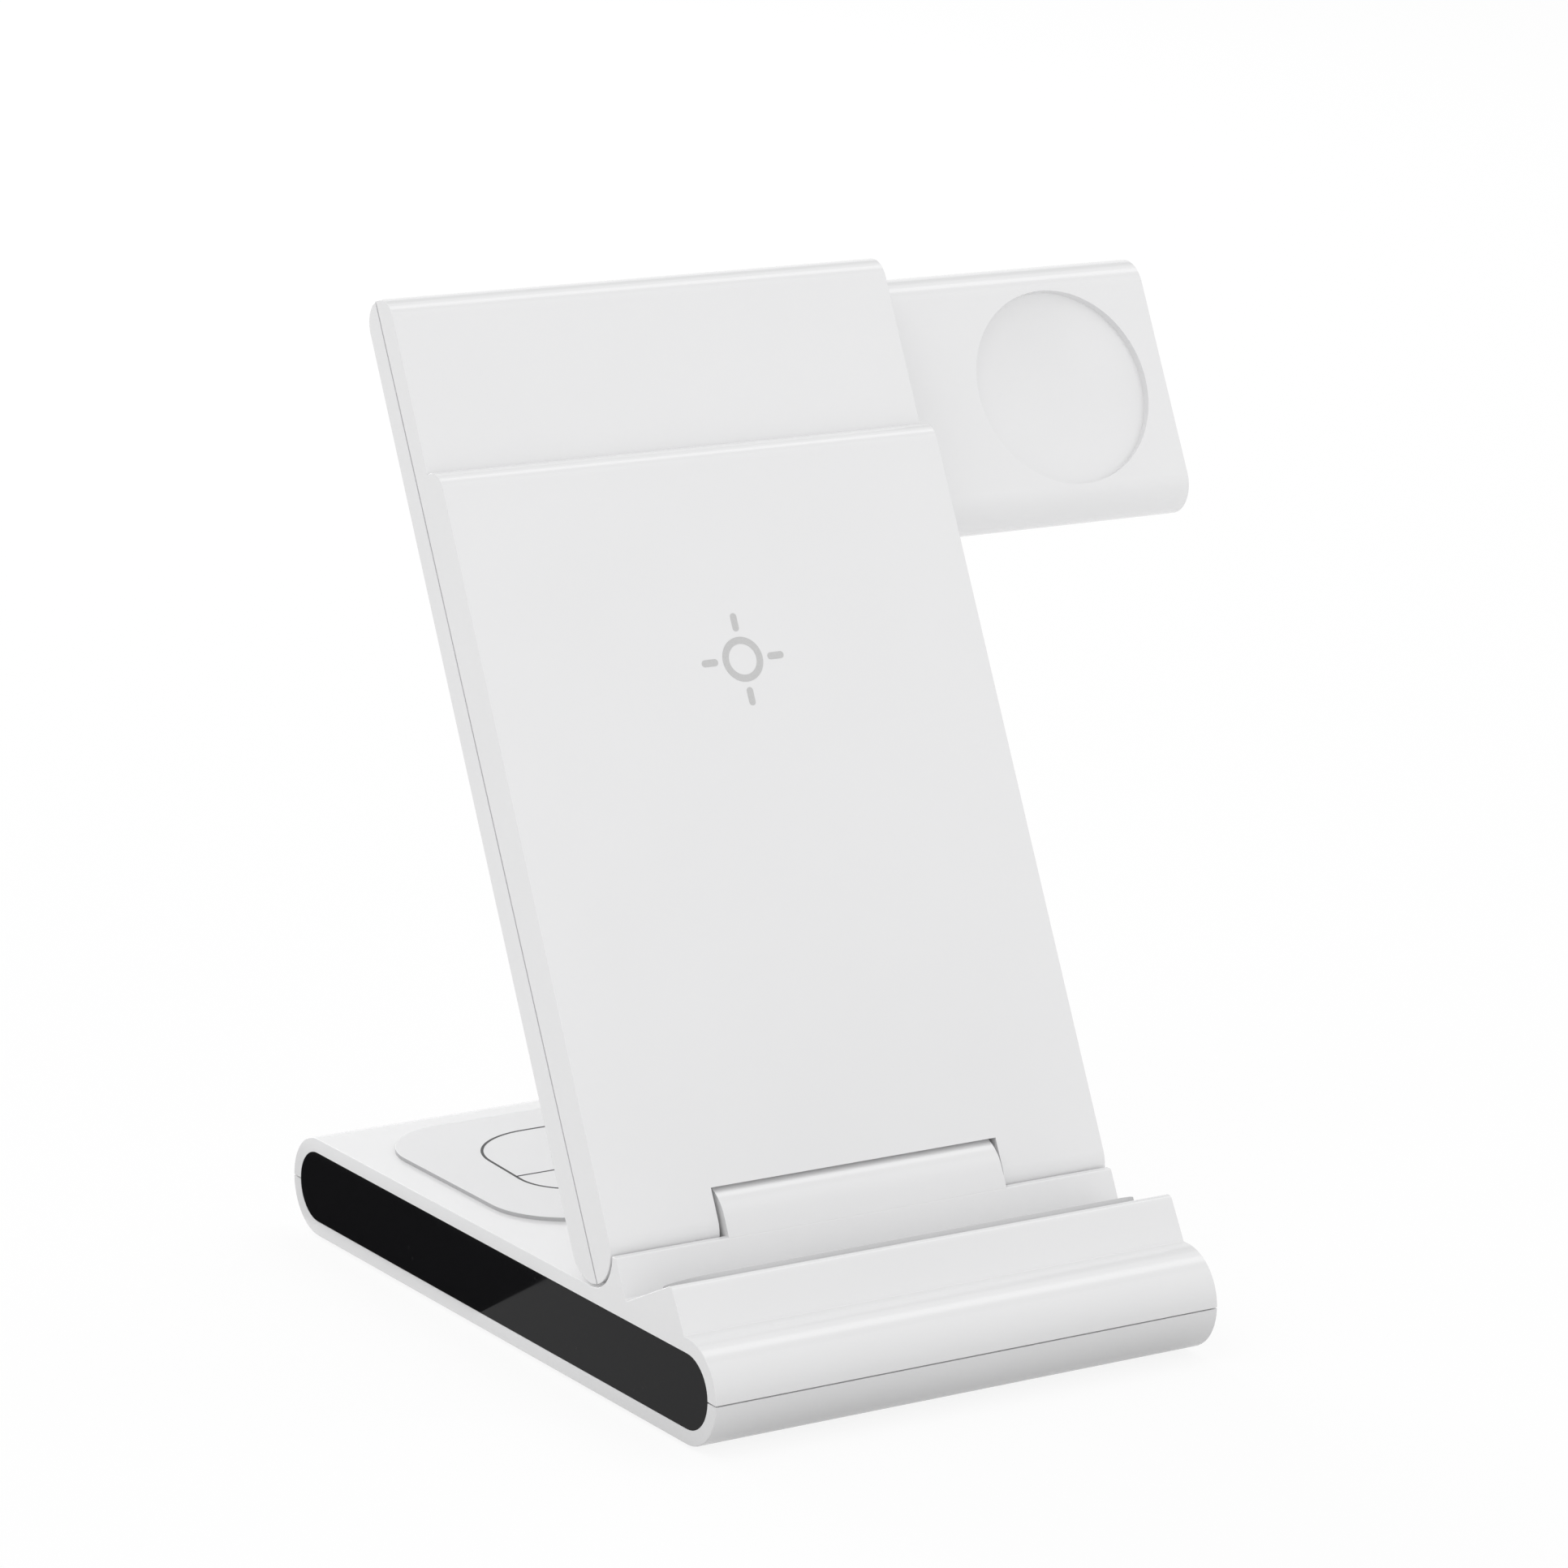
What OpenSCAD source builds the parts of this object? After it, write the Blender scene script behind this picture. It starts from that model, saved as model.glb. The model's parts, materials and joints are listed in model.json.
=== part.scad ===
// Folding charger for a phone, a watch and an earbud case.
// Sizes are millimetres. X runs right along the hinge, Y to the back and Z up.
// The origin lies on the table, under the middle of the base.

/* [Base] */
// Width of the base and of the phone panel
body_w = 80; // [78:1:92]
// Depth of the base, over its round nose and back end
base_d = 118; // [114:1:130]
// Thickness of the base, without the mat under it
base_h = 14.6; // [14.2:0.1:17]
// Wall of the base's two shells
base_wall = 1.8; // [1.4:0.1:2]
// Width of the pale rim round each black side inlay
inlay_rim = 2.1; // [1.6:0.1:3]
// Thickness of a side inlay
inlay_t = 1; // [0.6:0.1:1.2]
// Thickness of the mat under the base
mat_t = 1.2; // [0.9:0.1:1.4]
// Distance from the mat to the sides of the base
mat_side = 4.5; // [4:0.25:6]
// Distance from the mat to the ends of the base
mat_end = 9; // [8.6:0.2:10.4]
// How far that mat stands proud of the shell
mat_proud = 0.4; // [0.3:0.1:0.6]

/* [Earbud pad] */
// Distance from the pad to the sides of the base
pad_side = 5.5; // [4.5:0.25:12]
// Depth of the pad
pad_d = 49.4; // [40:0.2:50]
// Corner radius of the pad
pad_r = 12; // [4:0.5:18]
// Thickness of the pad
pad_t = 1.2; // [1:0.1:1.4]
// How far the pad stands proud of the base
pad_proud = 0.6; // [0.4:0.1:0.7]
// Distance from the back end of the base to the pad
pad_from_back = 11.8; // [10:0.2:14]

/* [Phone ledge] */
// Distance from the nose of the base to the hinge axis
hinge_from_nose = 32.4; // [32:0.1:36]
// Width of the flat land between the saddle and the ledge's wall
land_w = 1; // [0.6:0.1:1.4]
// Height of the ledge's back wall
ledge_wall = 5.85; // [5:0.05:6]
// Depth of the ledge's floor
ledge_floor = 12.9; // [11:0.1:13.5]
// Slope of the ledge's front face, from upright
lip_slope = 29.6; // [20:0.1:36]
// Radius along the ledge's front edge
lip_r = 1; // [0.5:0.1:1.6]
// Distance from the ends of the grip strip to the sides of the base
strip_side = 3; // [2:0.5:15]
// Width of the grip strip
strip_w = 9.6; // [7:0.1:10]
// Thickness of the grip strip
strip_t = 1.1; // [0.9:0.1:1.3]
// How far the grip strip stands proud of the floor
strip_proud = 0.7; // [0.5:0.1:0.8]
// Distance from the ledge's wall to the strip
strip_from_wall = 1.9; // [1.4:0.1:2.2]

/* [Hinge] */
// Lean of the open panel, back from upright
lean = 25.5; // [22:0.5:30]
// Width of each of the panel's two ears, beside the notch for the barrel
ear_w = 17; // [15:0.5:20]
// Side gap between the hinge barrel and each ear
barrel_side_gap = 0.6; // [0.3:0.1:0.8]
// Gap between the barrel and the panel round it
barrel_gap = 0.7; // [0.5:0.1:1]
// Gap between the folded panel's back and the base
fold_gap = 0.4; // [0.3:0.05:0.6]
// Diameter of a hinge shaft
shaft_d = 5; // [4.4:0.1:5.4]
// Bore through a hinge shaft, for the lead
shaft_bore = 2.4; // [2:0.1:2.6]
// Outer diameter of a friction sleeve
sleeve_d = 7.2; // [6.6:0.1:7.6]
// Length of a friction sleeve
sleeve_l = 12; // [8:0.5:13]
// Radial play between a shaft and its sleeve
shaft_play = 0.04; // [0.02:0.01:0.08]
// How far a hinge shaft's leaf reaches up into the hollow of the panel
leaf_reach = 15.5; // [14:0.5:20]
// Thickness of that leaf
leaf_t = 1.8; // [1.4:0.1:2.2]

/* [Phone panel] */
// Thickness of the panel's lower part
panel_t = 10.6; // [10:0.1:11.4]
// Thickness of the panel above its step
upper_t = 7.2; // [7:0.1:7.8]
// Height of the panel's top above the hinge axis
panel_top = 132.6; // [132:0.2:142]
// Height of the step above the hinge axis
step_h = 106.7; // [100:0.1:112]
// Radius along the step's edge
step_r = 3; // [1.5:0.1:3.2]
// Wall of the panel's two shells
panel_wall = 1.7; // [1.4:0.05:1.8]
// Height of the phone coil's middle above the hinge axis
coil_h = 75.4; // [68:0.2:78]
// Outer diameter of the phone coil
phone_coil_d = 43; // [36:1:46]

/* [Watch arm] */
// Height of the arm
arm_h = 39; // [38:0.5:39]
// Thickness of the arm
arm_t = 9.4; // [9.2:0.1:10.4]
// How much shorter the arm is than the panel is wide
arm_short = 1.25; // [0.5:0.25:4]
// Length of the arm that stays behind the panel when it is drawn out
arm_in = 29.5; // [28:0.25:34]
// Gap between the panel's back and the arm
arm_gap = 0.5; // [0.4:0.05:0.8]
// Distance from the panel's top down to the arm
arm_below_top = 1; // [0.6:0.1:2]
// Wall of the arm's shell
arm_wall = 1.5; // [1.3:0.1:1.7]
// Diameter of the watch dish's opening
dish_d = 29.5; // [28:0.1:30]
// Distance from the arm's end to the middle of the dish
dish_from_end = 18.25; // [17.5:0.05:19]
// Height of the straight wall round the dish
dish_wall = 1.3; // [0.8:0.1:1.4]
// Depth of the hollow below that wall
dish_sag = 2.3; // [1.2:0.1:2.6]

/* [Runner] */
// Width of the runner's stem, in the panel's slot
stem_w = 8; // [6:0.2:9]
// Distance from the stem to the arm's end, behind the panel
stem_from_end = 3.5; // [3:0.25:6]
// Distance from the stem to the panel's side, with the arm drawn out
stem_from_side = 4; // [3.5:0.25:8]
// Width of the runner's head
head_w = 16; // [13:0.2:17]
// Thickness of the runner's head
head_t = 1.6; // [1.4:0.1:1.7]
// Side play of the runner in its track
runner_play = 0.1; // [0.06:0.01:0.15]

/* [Hidden] */

$fn = 96;
fine = 32;   // facets of small round parts
big = 400;   // longer than anything here, for cutting shapes
over = 0.005; // how far a corner's circle crosses the lines that it is tangent to

// Directions in the YZ plane: up along the open panel, and out of its front
up = [sin(lean), cos(lean)];
out = [-cos(lean), sin(lean)];

// Base
seam_w = 0.2;                       // open line along the base's seam
seam_depth = 0.5;
rim_t = 1;                          // rim of one shell that enters the other
rim_fit = 0.1;
base_r = base_h / 2;
base_front = -base_d / 2;
side_wall = inlay_t + 1.6;          // wall behind a side inlay
inner_w = body_w - 2 * side_wall;
mat_seat = mat_t - mat_proud;
mat_w = body_w - 2 * mat_side;
mat_d = base_d - 2 * mat_end;
mat_r = 6;
mat_fit = 0.1;
pad_w = body_w - 2 * pad_side;
pad_y = base_d / 2 - pad_from_back - pad_d / 2;
roof = base_h - base_wall;          // underside of the base's top wall

// Hinge and ledge, in the YZ plane, with Z from the underside of the base's shell
hinge_at = [base_front + hinge_from_nose, base_h + fold_gap + panel_t / 2];
saddle_r = panel_t / 2 + fold_gap + 0.05;
land_back = hinge_at - [saddle_r, 0];
land_front = land_back - [land_w, 0];
ledge_back = land_front - ledge_wall * up;
ledge_front = ledge_back + ledge_floor * out;
lip_dir = [-sin(lip_slope), -cos(lip_slope)];
lip_foot = ledge_front + lip_dir * (ledge_front.y - base_h) / cos(lip_slope);
barrel_r = (saddle_r + land_w) * cos(lean);   // the ledge's wall is tangent to the barrel
lip_foot_r = 0.25;
strip_l = body_w - 2 * strip_side;
notch_w = body_w - 2 * ear_w;
barrel_w = notch_w - 2 * barrel_side_gap;
barrel_bore = sleeve_d / 2;
neck = 3.4;                          // fill behind the barrel, clear of the folded panel
pocket_r = barrel_r + barrel_gap;
lead_r = 0.9;

// Base screws and posts
screw_x = inner_w / 2 - 6;
screw_y = base_d / 2 - base_r - 7;
screw_seat = base_wall + 1;
boss_split = 6.2;
screw_r = 1.1;
screw_l = 7.4;
screw_head_r = 2.1;
screw_head_h = 1.3;
boss_r = 3.8;
boss_gap = 0.4;                      // from a post to what lies round it

// Socket and main board
socket_w = 8.94;
socket_h = 3.26;
socket_l = 7.4;
socket_back = base_d / 2 - 0.1;
board_t = 1.2;
board_side = 8.4;                    // from the board to the walls beside it
board_w = inner_w - 2 * board_side;
board_d = 30;
board_top = base_r - socket_h / 2;
board_y = socket_back - board_d / 2 - 4.2;
chip_w = 7;
chip_t = 1;
can_r = 3.4;                         // smoothing capacitor
can_under = 1.03;                    // from the capacitor up to the coil's ferrite
choke_w = 8;
choke_h = 3;
board_posts = [for (x = [-1, 1], y = [-1, 1]) [x * (board_w / 2 - 4), board_y + y * (board_d / 2 - 4)]];

// Ballast plate, between the front screws and the main board
ballast_under = 0.67;                // from the plate up to the lead that crosses it
ballast_t = board_top - base_wall - ballast_under;
ballast_side = 2.5;
ballast_from_screws = 1.5;
ballast_to_board = 4.5;
ballast_r = 4;
ballast_low = ballast_from_screws - screw_y;
ballast_high = board_y - board_d / 2 - ballast_to_board;

// Earbud coil
earbud_coil_r = 16;
coil_t = 1.2;
ferrite_t = 0.9;
can_h = roof - coil_t - ferrite_t - can_under - board_top;

// Panel, in its own frame: origin on the hinge axis, Y out of its back and Z up along it
panel_r = panel_t / 2;
panel_seam_w = 0.3;
upper_front = panel_r - upper_t;
top_r = upper_t / 2;
seam_low = 0.45;                    // how far the seam lies behind the middle, at the hinge
seam_high = 1.85;                   // the same at the panel's top
panel_in = body_w / 2 - panel_wall;
cavity_low = pocket_r + panel_wall; // the shells are solid below this height
leaf_h = cavity_low + leaf_reach;
function seam_y(z) = seam_low + (seam_high - seam_low) * (z + panel_r) / (panel_top + panel_r);
leaf_play = 0.6;
lead_room = 3.7;                    // from the notch to the leaf, for the lead
leaf_w = ear_w - panel_wall - leaf_play - lead_room;
leaf_x = panel_in - leaf_play - leaf_w / 2;
leaf_hole_top = 4;
leaf_hole_pitch = 6;
leaf_holes = [leaf_h - leaf_hole_top, leaf_h - leaf_hole_top - leaf_hole_pitch];
leaf_screw_r = 1;
leaf_head_r = 1.9;
leaf_head_h = 1;
inner_back = panel_r - panel_wall;  // inside of the panel's back wall
inner_front = -panel_r + panel_wall;
lead_x = notch_w / 2 + 1.9;         // where the lead turns up into the panel
panel_board_w = 2 * lead_x;
panel_board_h = 24;
panel_board_z = cavity_low + 4 + panel_board_h / 2;
panel_board_back = lead_r + board_t;

// Arm, in the panel's frame
arm_z = panel_top - arm_below_top - arm_h / 2;
arm_front = panel_r + arm_gap;
arm_back = arm_front + arm_t;
arm_l = body_w - arm_short;
arm_out = arm_l - arm_in;
arm_right = body_w / 2 + arm_out;
arm_left = arm_right - arm_l;
dish_x = arm_right - dish_from_end;
dish_r = dish_d / 2;
cover_t = 1.4;
cover_h = arm_h - arm_t - 0.6;
cover_edge = 2;                     // from the arm's ends to its cover
cover_lap = 1.2;                    // how far the cover laps over its opening
cover_fit = 0.1;
cover_inside = arm_back - cover_t;

// Watch dish and what lies under it, as depths below the arm's front face
dish_t = 1;
dish_flange = 1.6;
dish_fit = 0.02;
dish_bottom = dish_wall + dish_sag;
dish_arc = (pow(dish_r - 0.5, 2) + pow(dish_sag, 2)) / (2 * dish_sag);
watch_coil_r = 12.8;
watch_coil_t = 1.2;
watch_ferrite_t = 0.8;
coil_top = dish_bottom + dish_t;
ferrite_back = coil_top + watch_coil_t + watch_ferrite_t;

// Runner and track, in the panel's frame
head_end = 1;                       // how far the head reaches past the stem, at each end
head_back = inner_back - runner_play;
head_front = head_back - head_t;
track_lip = head_front - runner_play;
strip_front = track_lip - 0.9;      // back face of the track's front plate
track_front = strip_front - 0.8;
track_edge = 2;
track_end = panel_in - rim_t - 2 * rim_fit;
strip_pcb_t = 0.4;
stem_left = arm_left + stem_from_end;
stem_l = arm_in - stem_from_end - stem_from_side;
slot_play = 0.3;
travel = arm_out;
arm_lead_x = stem_left + stem_l / 2;
arm_board_from_lead = 3.65;
arm_board_from_dish = 2;
arm_lead_end = 9;                   // how far the lead reaches over the arm's board
arm_board_left = arm_lead_x + arm_board_from_lead;
arm_board_right = dish_x - dish_r - dish_flange - arm_board_from_dish;
arm_board_w = arm_board_right - arm_board_left;
arm_board_x = (arm_board_left + arm_board_right) / 2;
arm_board_h = 22;
arm_board_back = cover_inside - 1.6;
arm_board_chip = 1.2;
arm_lead_y = arm_board_back - 1 - arm_board_chip - lead_r;
pin_r = 0.6;
pin_x = [for (i = [0:3]) stem_left + 4 + i * 3];
runner_holes = [stem_left + 2, stem_left + stem_l - 2];

// Plain shapes

// Pushes an outline in the YZ plane from x0 to x1
module along_x(x0, x1) translate([x0, 0, 0]) rotate([90, 0, 90]) linear_extrude(x1 - x0) children();

// Puts what is drawn in the panel's frame at the hinge, leaning back
module on_panel() translate([0, hinge_at.x, mat_proud + hinge_at.y]) rotate([-lean, 0, 0]) children();

// Lifts what is drawn from the shell's underside to its height above the table
module on_base() translate([0, 0, mat_proud]) children();

// A box from its low corner to its high corner
module block(low, high) translate(low) cube(high - low);

// Flat rounded rectangle
module rounded_rect(w, d, r) {
    square([w, d - 2 * r], center = true);
    square([w - 2 * r, d], center = true);
    for (x = [-1, 1], y = [-1, 1]) translate([x * (w / 2 - r), y * (d / 2 - r)]) circle(r);
}

// Flat bar with half-round ends
module round_bar(l, w) {
    square([l - w, w], center = true);
    for (x = [-1, 1]) translate([x * (l - w) / 2, 0]) circle(w / 2);
}

// Cylinder along X between x0 and x1, at a point of the YZ plane
module rod_x(x0, x1, r, at = [0, 0]) translate([x0, at.x, at.y]) rotate([0, 90, 0]) cylinder(h = x1 - x0, r = r);

// Cylinder along Y between y0 and y1, at x and z
module rod_y(x, z, y0, y1, r) translate([x, y0, z]) rotate([-90, 0, 0]) cylinder(h = y1 - y0, r = r);

// Ring along Y
module ring_y(x, z, y0, y1, r_out, r_in) difference() {
    rod_y(x, z, y0, y1, r_out);
    rod_y(x, z, y0 - 1, y1 + 1, r_in);
}

function unit(v) = v / norm(v);
function corner_angle(p, q, s) = acos(unit(p - q) * unit(s - q));
function tangent_on(q, p, s, r) = q + unit(p - q) * r / tan(corner_angle(p, q, s) / 2);
function corner_centre(p, q, s, r) = q + unit(unit(p - q) + unit(s - q)) * r / sin(corner_angle(p, q, s) / 2);

// Rounds off the corner q of the children, whose edges run to p and s
module rounded_corner(p, q, s, r) {
    difference() {
        children();
        polygon([q + 0.3 * unit(q - corner_centre(p, q, s, r)), tangent_on(q, p, s, r), tangent_on(q, s, p, r)]);
    }
    translate(corner_centre(p, q, s, r)) circle(r + over);
}

// Fills the inner corner q between walls that run to p and s
module filled_corner(p, q, s, r) difference() {
    polygon([q - 0.3 * unit(corner_centre(p, q, s, r) - q), tangent_on(q, p, s, r), tangent_on(q, s, p, r)]);
    translate(corner_centre(p, q, s, r)) circle(r + over);
}

// Base, outlines

module base_outline(inset = 0) translate([0, base_r]) {
    for (y = [-1, 1]) translate([y * (base_d / 2 - base_r), 0]) circle(base_r - inset);
    square([base_d - base_h, base_h - 2 * inset], center = true);
}

// The raised block of the ledge, from the saddle to the front of the lip
module ledge_outline() {
    low = base_h - base_wall;
    rounded_corner(ledge_back, ledge_front, lip_foot, lip_r)
        rounded_corner(land_back, land_front, ledge_back, 0.3)
            polygon([[hinge_at.x, low], hinge_at, land_back, land_front, ledge_back, ledge_front,
                     lip_foot, [lip_foot.x, low]]);
    filled_corner(land_front, ledge_back, ledge_front, 0.6);
    filled_corner(ledge_front, lip_foot, [base_front, base_h], lip_foot_r);
}

module top_outline() difference() {
    union() {
        base_outline();
        ledge_outline();
    }
    translate(hinge_at) circle(saddle_r);
}

// The barrel rises out of the block and carries on the ledge's wall
module barrel_outline() {
    low = base_h - base_wall;
    translate(hinge_at) circle(barrel_r + over);
    polygon([hinge_at, hinge_at + barrel_r * out, land_front, [land_front.x, low], [hinge_at.x + neck, low],
             hinge_at + [neck, -neck / 2]]);
}

// Space inside the base and inside the ledge's block
module base_inside(inset = 0) {
    base_outline(base_wall + inset);
    polygon([ledge_back - base_wall * up, ledge_front - base_wall * (up + out),
             [lip_foot.x + 1.2 * base_wall, roof - 1], [ledge_back.x, roof - 1]]);
}

module base_space(inset = 0) along_x(-inner_w / 2 + inset, inner_w / 2 - inset) base_inside(inset);

// The open line along the base's seam
module base_seam() difference() {
    block([-big, -big, base_r - seam_w / 2], [big, big, base_r + seam_w / 2]);
    along_x(-body_w / 2 + seam_depth, body_w / 2 - seam_depth) base_outline(seam_depth);
}

module inlay(side) along_x(side * (body_w - inlay_t) / 2 - inlay_t / 2, side * (body_w - inlay_t) / 2 + inlay_t / 2)
    base_outline(inlay_rim);

module at_base_screws() for (x = [-1, 1], y = [-1, 1]) translate([x * screw_x, y * screw_y, 0]) children();

module socket_hole(grow) translate([0, socket_back - socket_l, base_r]) rotate([-90, 0, 0])
    linear_extrude(socket_l + 2) round_bar(socket_w + 2 * grow, socket_h + 2 * grow);

module strip_place() translate([0, ledge_back.x, ledge_back.y]) rotate([-lean, 0, 0])
    translate([0, -strip_from_wall - strip_w / 2, strip_proud - strip_t]) children();

module earbud_place() translate([0, pad_y, 0]) children();

// Base, pieces

module base_top_shell() color("#e9e9eb") on_base() difference() {
    union() {
        difference() {
            along_x(-body_w / 2, body_w / 2) top_outline();
            base_space();
            block([-big, -big, -big], [big, big, base_r]);
        }
        along_x(-barrel_w / 2, barrel_w / 2) barrel_outline();
        intersection() {
            at_base_screws() translate([0, 0, boss_split]) cylinder(h = base_h, r = 3.2);
            base_space(-0.5);
        }
    }
    for (side = [-1, 1]) inlay(side);
    base_seam();
    rod_x(-barrel_w / 2 - 1, barrel_w / 2 + 1, barrel_bore, hinge_at);
    block([-4, hinge_at.x - 1.6, base_r], [4, hinge_at.x + 1.6, hinge_at.y]);
    at_base_screws() translate([0, 0, boss_split - 1]) cylinder(h = screw_seat + screw_l - boss_split + 1.4, r = screw_r, $fn = fine);
    earbud_place() translate([0, 0, base_h + pad_proud - pad_t]) linear_extrude(5) rounded_rect(pad_w, pad_d, pad_r);
    strip_place() linear_extrude(strip_t) round_bar(strip_l, strip_w);
    socket_hole(0.35);
}

module base_bottom_shell() color("#dcdcdf") on_base() difference() {
    union() {
        difference() {
            along_x(-body_w / 2, body_w / 2) base_outline();
            base_space();
            block([-big, -big, base_r], [big, big, big]);
        }
        // Rim that enters the top shell
        difference() {
            union() {
                intersection() {
                    base_space();
                    block([-big, -big, base_r - 1.2], [big, big, base_r]);
                }
                intersection() {
                    base_space(rim_fit);
                    block([-big, -big, base_r - 1.2], [big, big, base_r + 1.4]);
                }
            }
            base_space(rim_fit + rim_t);
            block([-8, base_d / 2 - 9, 0], [8, base_d / 2, base_h]);
        }
        at_base_screws() translate([0, 0, base_wall - 0.5]) cylinder(h = boss_split - base_wall + 0.5, r = boss_r);
        for (p = board_posts) translate([p.x, p.y, base_wall - 0.5])
            cylinder(h = board_top - board_t - base_wall + 0.5, r = 2);
    }
    for (side = [-1, 1]) inlay(side);
    base_seam();
    translate([0, 0, -1]) linear_extrude(mat_seat + 1) rounded_rect(mat_w, mat_d, mat_r);
    at_base_screws() {
        translate([0, 0, -1]) cylinder(h = screw_seat + 1, r = screw_head_r + 0.2, $fn = fine);
        cylinder(h = base_h, r = screw_r + 0.2, $fn = fine);
    }
    socket_hole(0.35);
}

module side_inlay_left() color("#101012") on_base() inlay(-1);
module side_inlay_right() color("#101012") on_base() inlay(1);

module underside_mat() color("#b9bbbf") linear_extrude(mat_t)
    rounded_rect(mat_w - 2 * mat_fit, mat_d - 2 * mat_fit, mat_r - mat_fit);

module base_screws() color("#9a9ca1") on_base() at_base_screws() difference() {
    union() {
        translate([0, 0, screw_seat - screw_head_h]) cylinder(h = screw_head_h, r = screw_head_r, $fn = fine);
        translate([0, 0, screw_seat - 0.1]) cylinder(h = screw_l + 0.1, r = screw_r, $fn = fine);
    }
    for (a = [0, 90]) rotate(a) cube([2.2, 0.6, 2 * (screw_seat - screw_head_h) + 1.2], center = true);
}

// Steel plate that keeps the folded-out charger steady
module ballast_plate() color("#8d9096") on_base() difference() {
    translate([0, (ballast_low + ballast_high) / 2, base_wall]) linear_extrude(ballast_t)
        rounded_rect(inner_w - 2 * ballast_side, ballast_high - ballast_low, ballast_r);
    at_base_screws() cylinder(h = base_h, r = boss_r + boss_gap);
}

module main_board() color("#2f7d4a") on_base() {
    difference() {
        translate([0, board_y, board_top - board_t]) linear_extrude(board_t) rounded_rect(board_w, board_d, 1.5);
        at_base_screws() cylinder(h = base_h, r = boss_r + boss_gap);
    }
    for (x = [-2, -1] * 1.6 * chip_w) block([x, board_y - chip_w + 1, board_top - 0.01],
                                            [x + chip_w, board_y + 1, board_top + chip_t]);
    translate([4.5 * can_r, board_y - 2, board_top - 0.01]) cylinder(h = can_h, r = can_r, $fn = fine);
    block([choke_w / 4, board_y - 11, board_top - 0.01], [1.25 * choke_w, board_y - 11 + choke_w, board_top + choke_h]);
}

module usb_c_socket() color("#b8babd") on_base() difference() {
    translate([0, socket_back - socket_l, base_r]) rotate([-90, 0, 0]) linear_extrude(socket_l)
        round_bar(socket_w, socket_h);
    difference() {
        translate([0, socket_back - socket_l + 1, base_r]) rotate([-90, 0, 0]) linear_extrude(socket_l)
            round_bar(socket_w - 0.6, socket_h - 0.6);
        block([-3.3, socket_back - socket_l, base_r - 0.35], [3.3, socket_back - 1, base_r + 0.35]);
    }
}

module earbud_coil() color("#b87333") on_base() earbud_place() translate([0, 0, roof - coil_t]) difference() {
    cylinder(h = coil_t, r = earbud_coil_r);
    translate([0, 0, -1]) cylinder(h = coil_t + 2, r = 6);
}

module earbud_ferrite() color("#3a3b3e") on_base() earbud_place() translate([0, 0, roof - coil_t - ferrite_t])
    linear_extrude(ferrite_t) rounded_rect(2 * earbud_coil_r + 3, 2 * earbud_coil_r + 3, 3);

module earbud_pad() color("#e2e2e4") on_base() earbud_place() translate([0, 0, base_h + pad_proud - pad_t])
    linear_extrude(pad_t) rounded_rect(pad_w, pad_d, pad_r);

module ledge_strip() color("#bcbdc0") on_base() strip_place() linear_extrude(strip_t) round_bar(strip_l, strip_w);

// Hinge

module friction_sleeve(side) on_base() difference() {
    rod_x(min(side * barrel_w / 2, side * (barrel_w / 2 - sleeve_l)), max(side * barrel_w / 2, side * (barrel_w / 2 - sleeve_l)),
          barrel_bore, hinge_at);
    rod_x(-big, big, shaft_d / 2 + shaft_play, hinge_at);
}

module friction_sleeve_left() color("#a9864a") friction_sleeve(-1);
module friction_sleeve_right() color("#a9864a") friction_sleeve(1);

// Lead from the main board up into the barrel and along the hinge axis
module hinge_lead() color("#303236") on_base() {
    rod_y(0, board_top + lead_r, hinge_at.x, board_y - board_d / 2 + 3, lead_r, $fn = fine);
    for (z = [board_top + lead_r, hinge_at.y]) translate([0, hinge_at.x, z]) sphere(r = lead_r, $fn = fine);
    translate([0, hinge_at.x, board_top + lead_r]) cylinder(h = hinge_at.y - board_top - lead_r, r = lead_r, $fn = fine);
    rod_x(0, notch_w / 2 + 0.3, lead_r, hinge_at, $fn = fine);
}

// Shaft that turns in the barrel, and its leaf in the panel; drawn for the right side
module shaft_and_leaf() difference() {
    union() {
        rod_x(barrel_w / 2 - sleeve_l - 0.7, leaf_x + leaf_w / 2, shaft_d / 2);
        rod_x(barrel_w / 2 - sleeve_l - 0.9, barrel_w / 2 - sleeve_l - 0.2, barrel_bore - 0.3);
        translate([leaf_x, -leaf_t / 2, 0]) rotate([-90, 0, 0]) linear_extrude(leaf_t)
            translate([0, -leaf_h / 2]) rounded_rect(leaf_w, leaf_h, 1.5);
    }
    rod_x(0, big, shaft_bore / 2);
    for (z = leaf_holes) rod_y(leaf_x, z, -5, 5, leaf_screw_r + 0.1, $fn = fine);
    block([notch_w / 2 + 0.6, -shaft_bore / 2, 0], [notch_w / 2 + 3.2, shaft_bore / 2, shaft_d]);
}

module hinge_shaft_left() color("#8f9298") on_panel() mirror([1, 0, 0]) shaft_and_leaf();
module hinge_shaft_right() color("#8f9298") on_panel() shaft_and_leaf();

module leaf_screws() color("#c4c6ca") on_panel() for (side = [-1, 1], z = leaf_holes) {
    rod_y(side * leaf_x, z, -leaf_t / 2 - leaf_head_h, -leaf_t / 2, leaf_head_r, $fn = fine);
    rod_y(side * leaf_x, z, -leaf_t / 2 - 0.1, inner_back, leaf_screw_r, $fn = fine);
}

module panel_lead() color("#303236") on_panel() {
    rod_x(notch_w / 2 + 0.5, lead_x, lead_r, $fn = fine);
    translate([lead_x, 0, 0]) sphere(r = lead_r, $fn = fine);
    translate([lead_x, 0, 0]) cylinder(h = cavity_low + 6, r = lead_r, $fn = fine);
}

// Panel, outlines in its own frame

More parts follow.
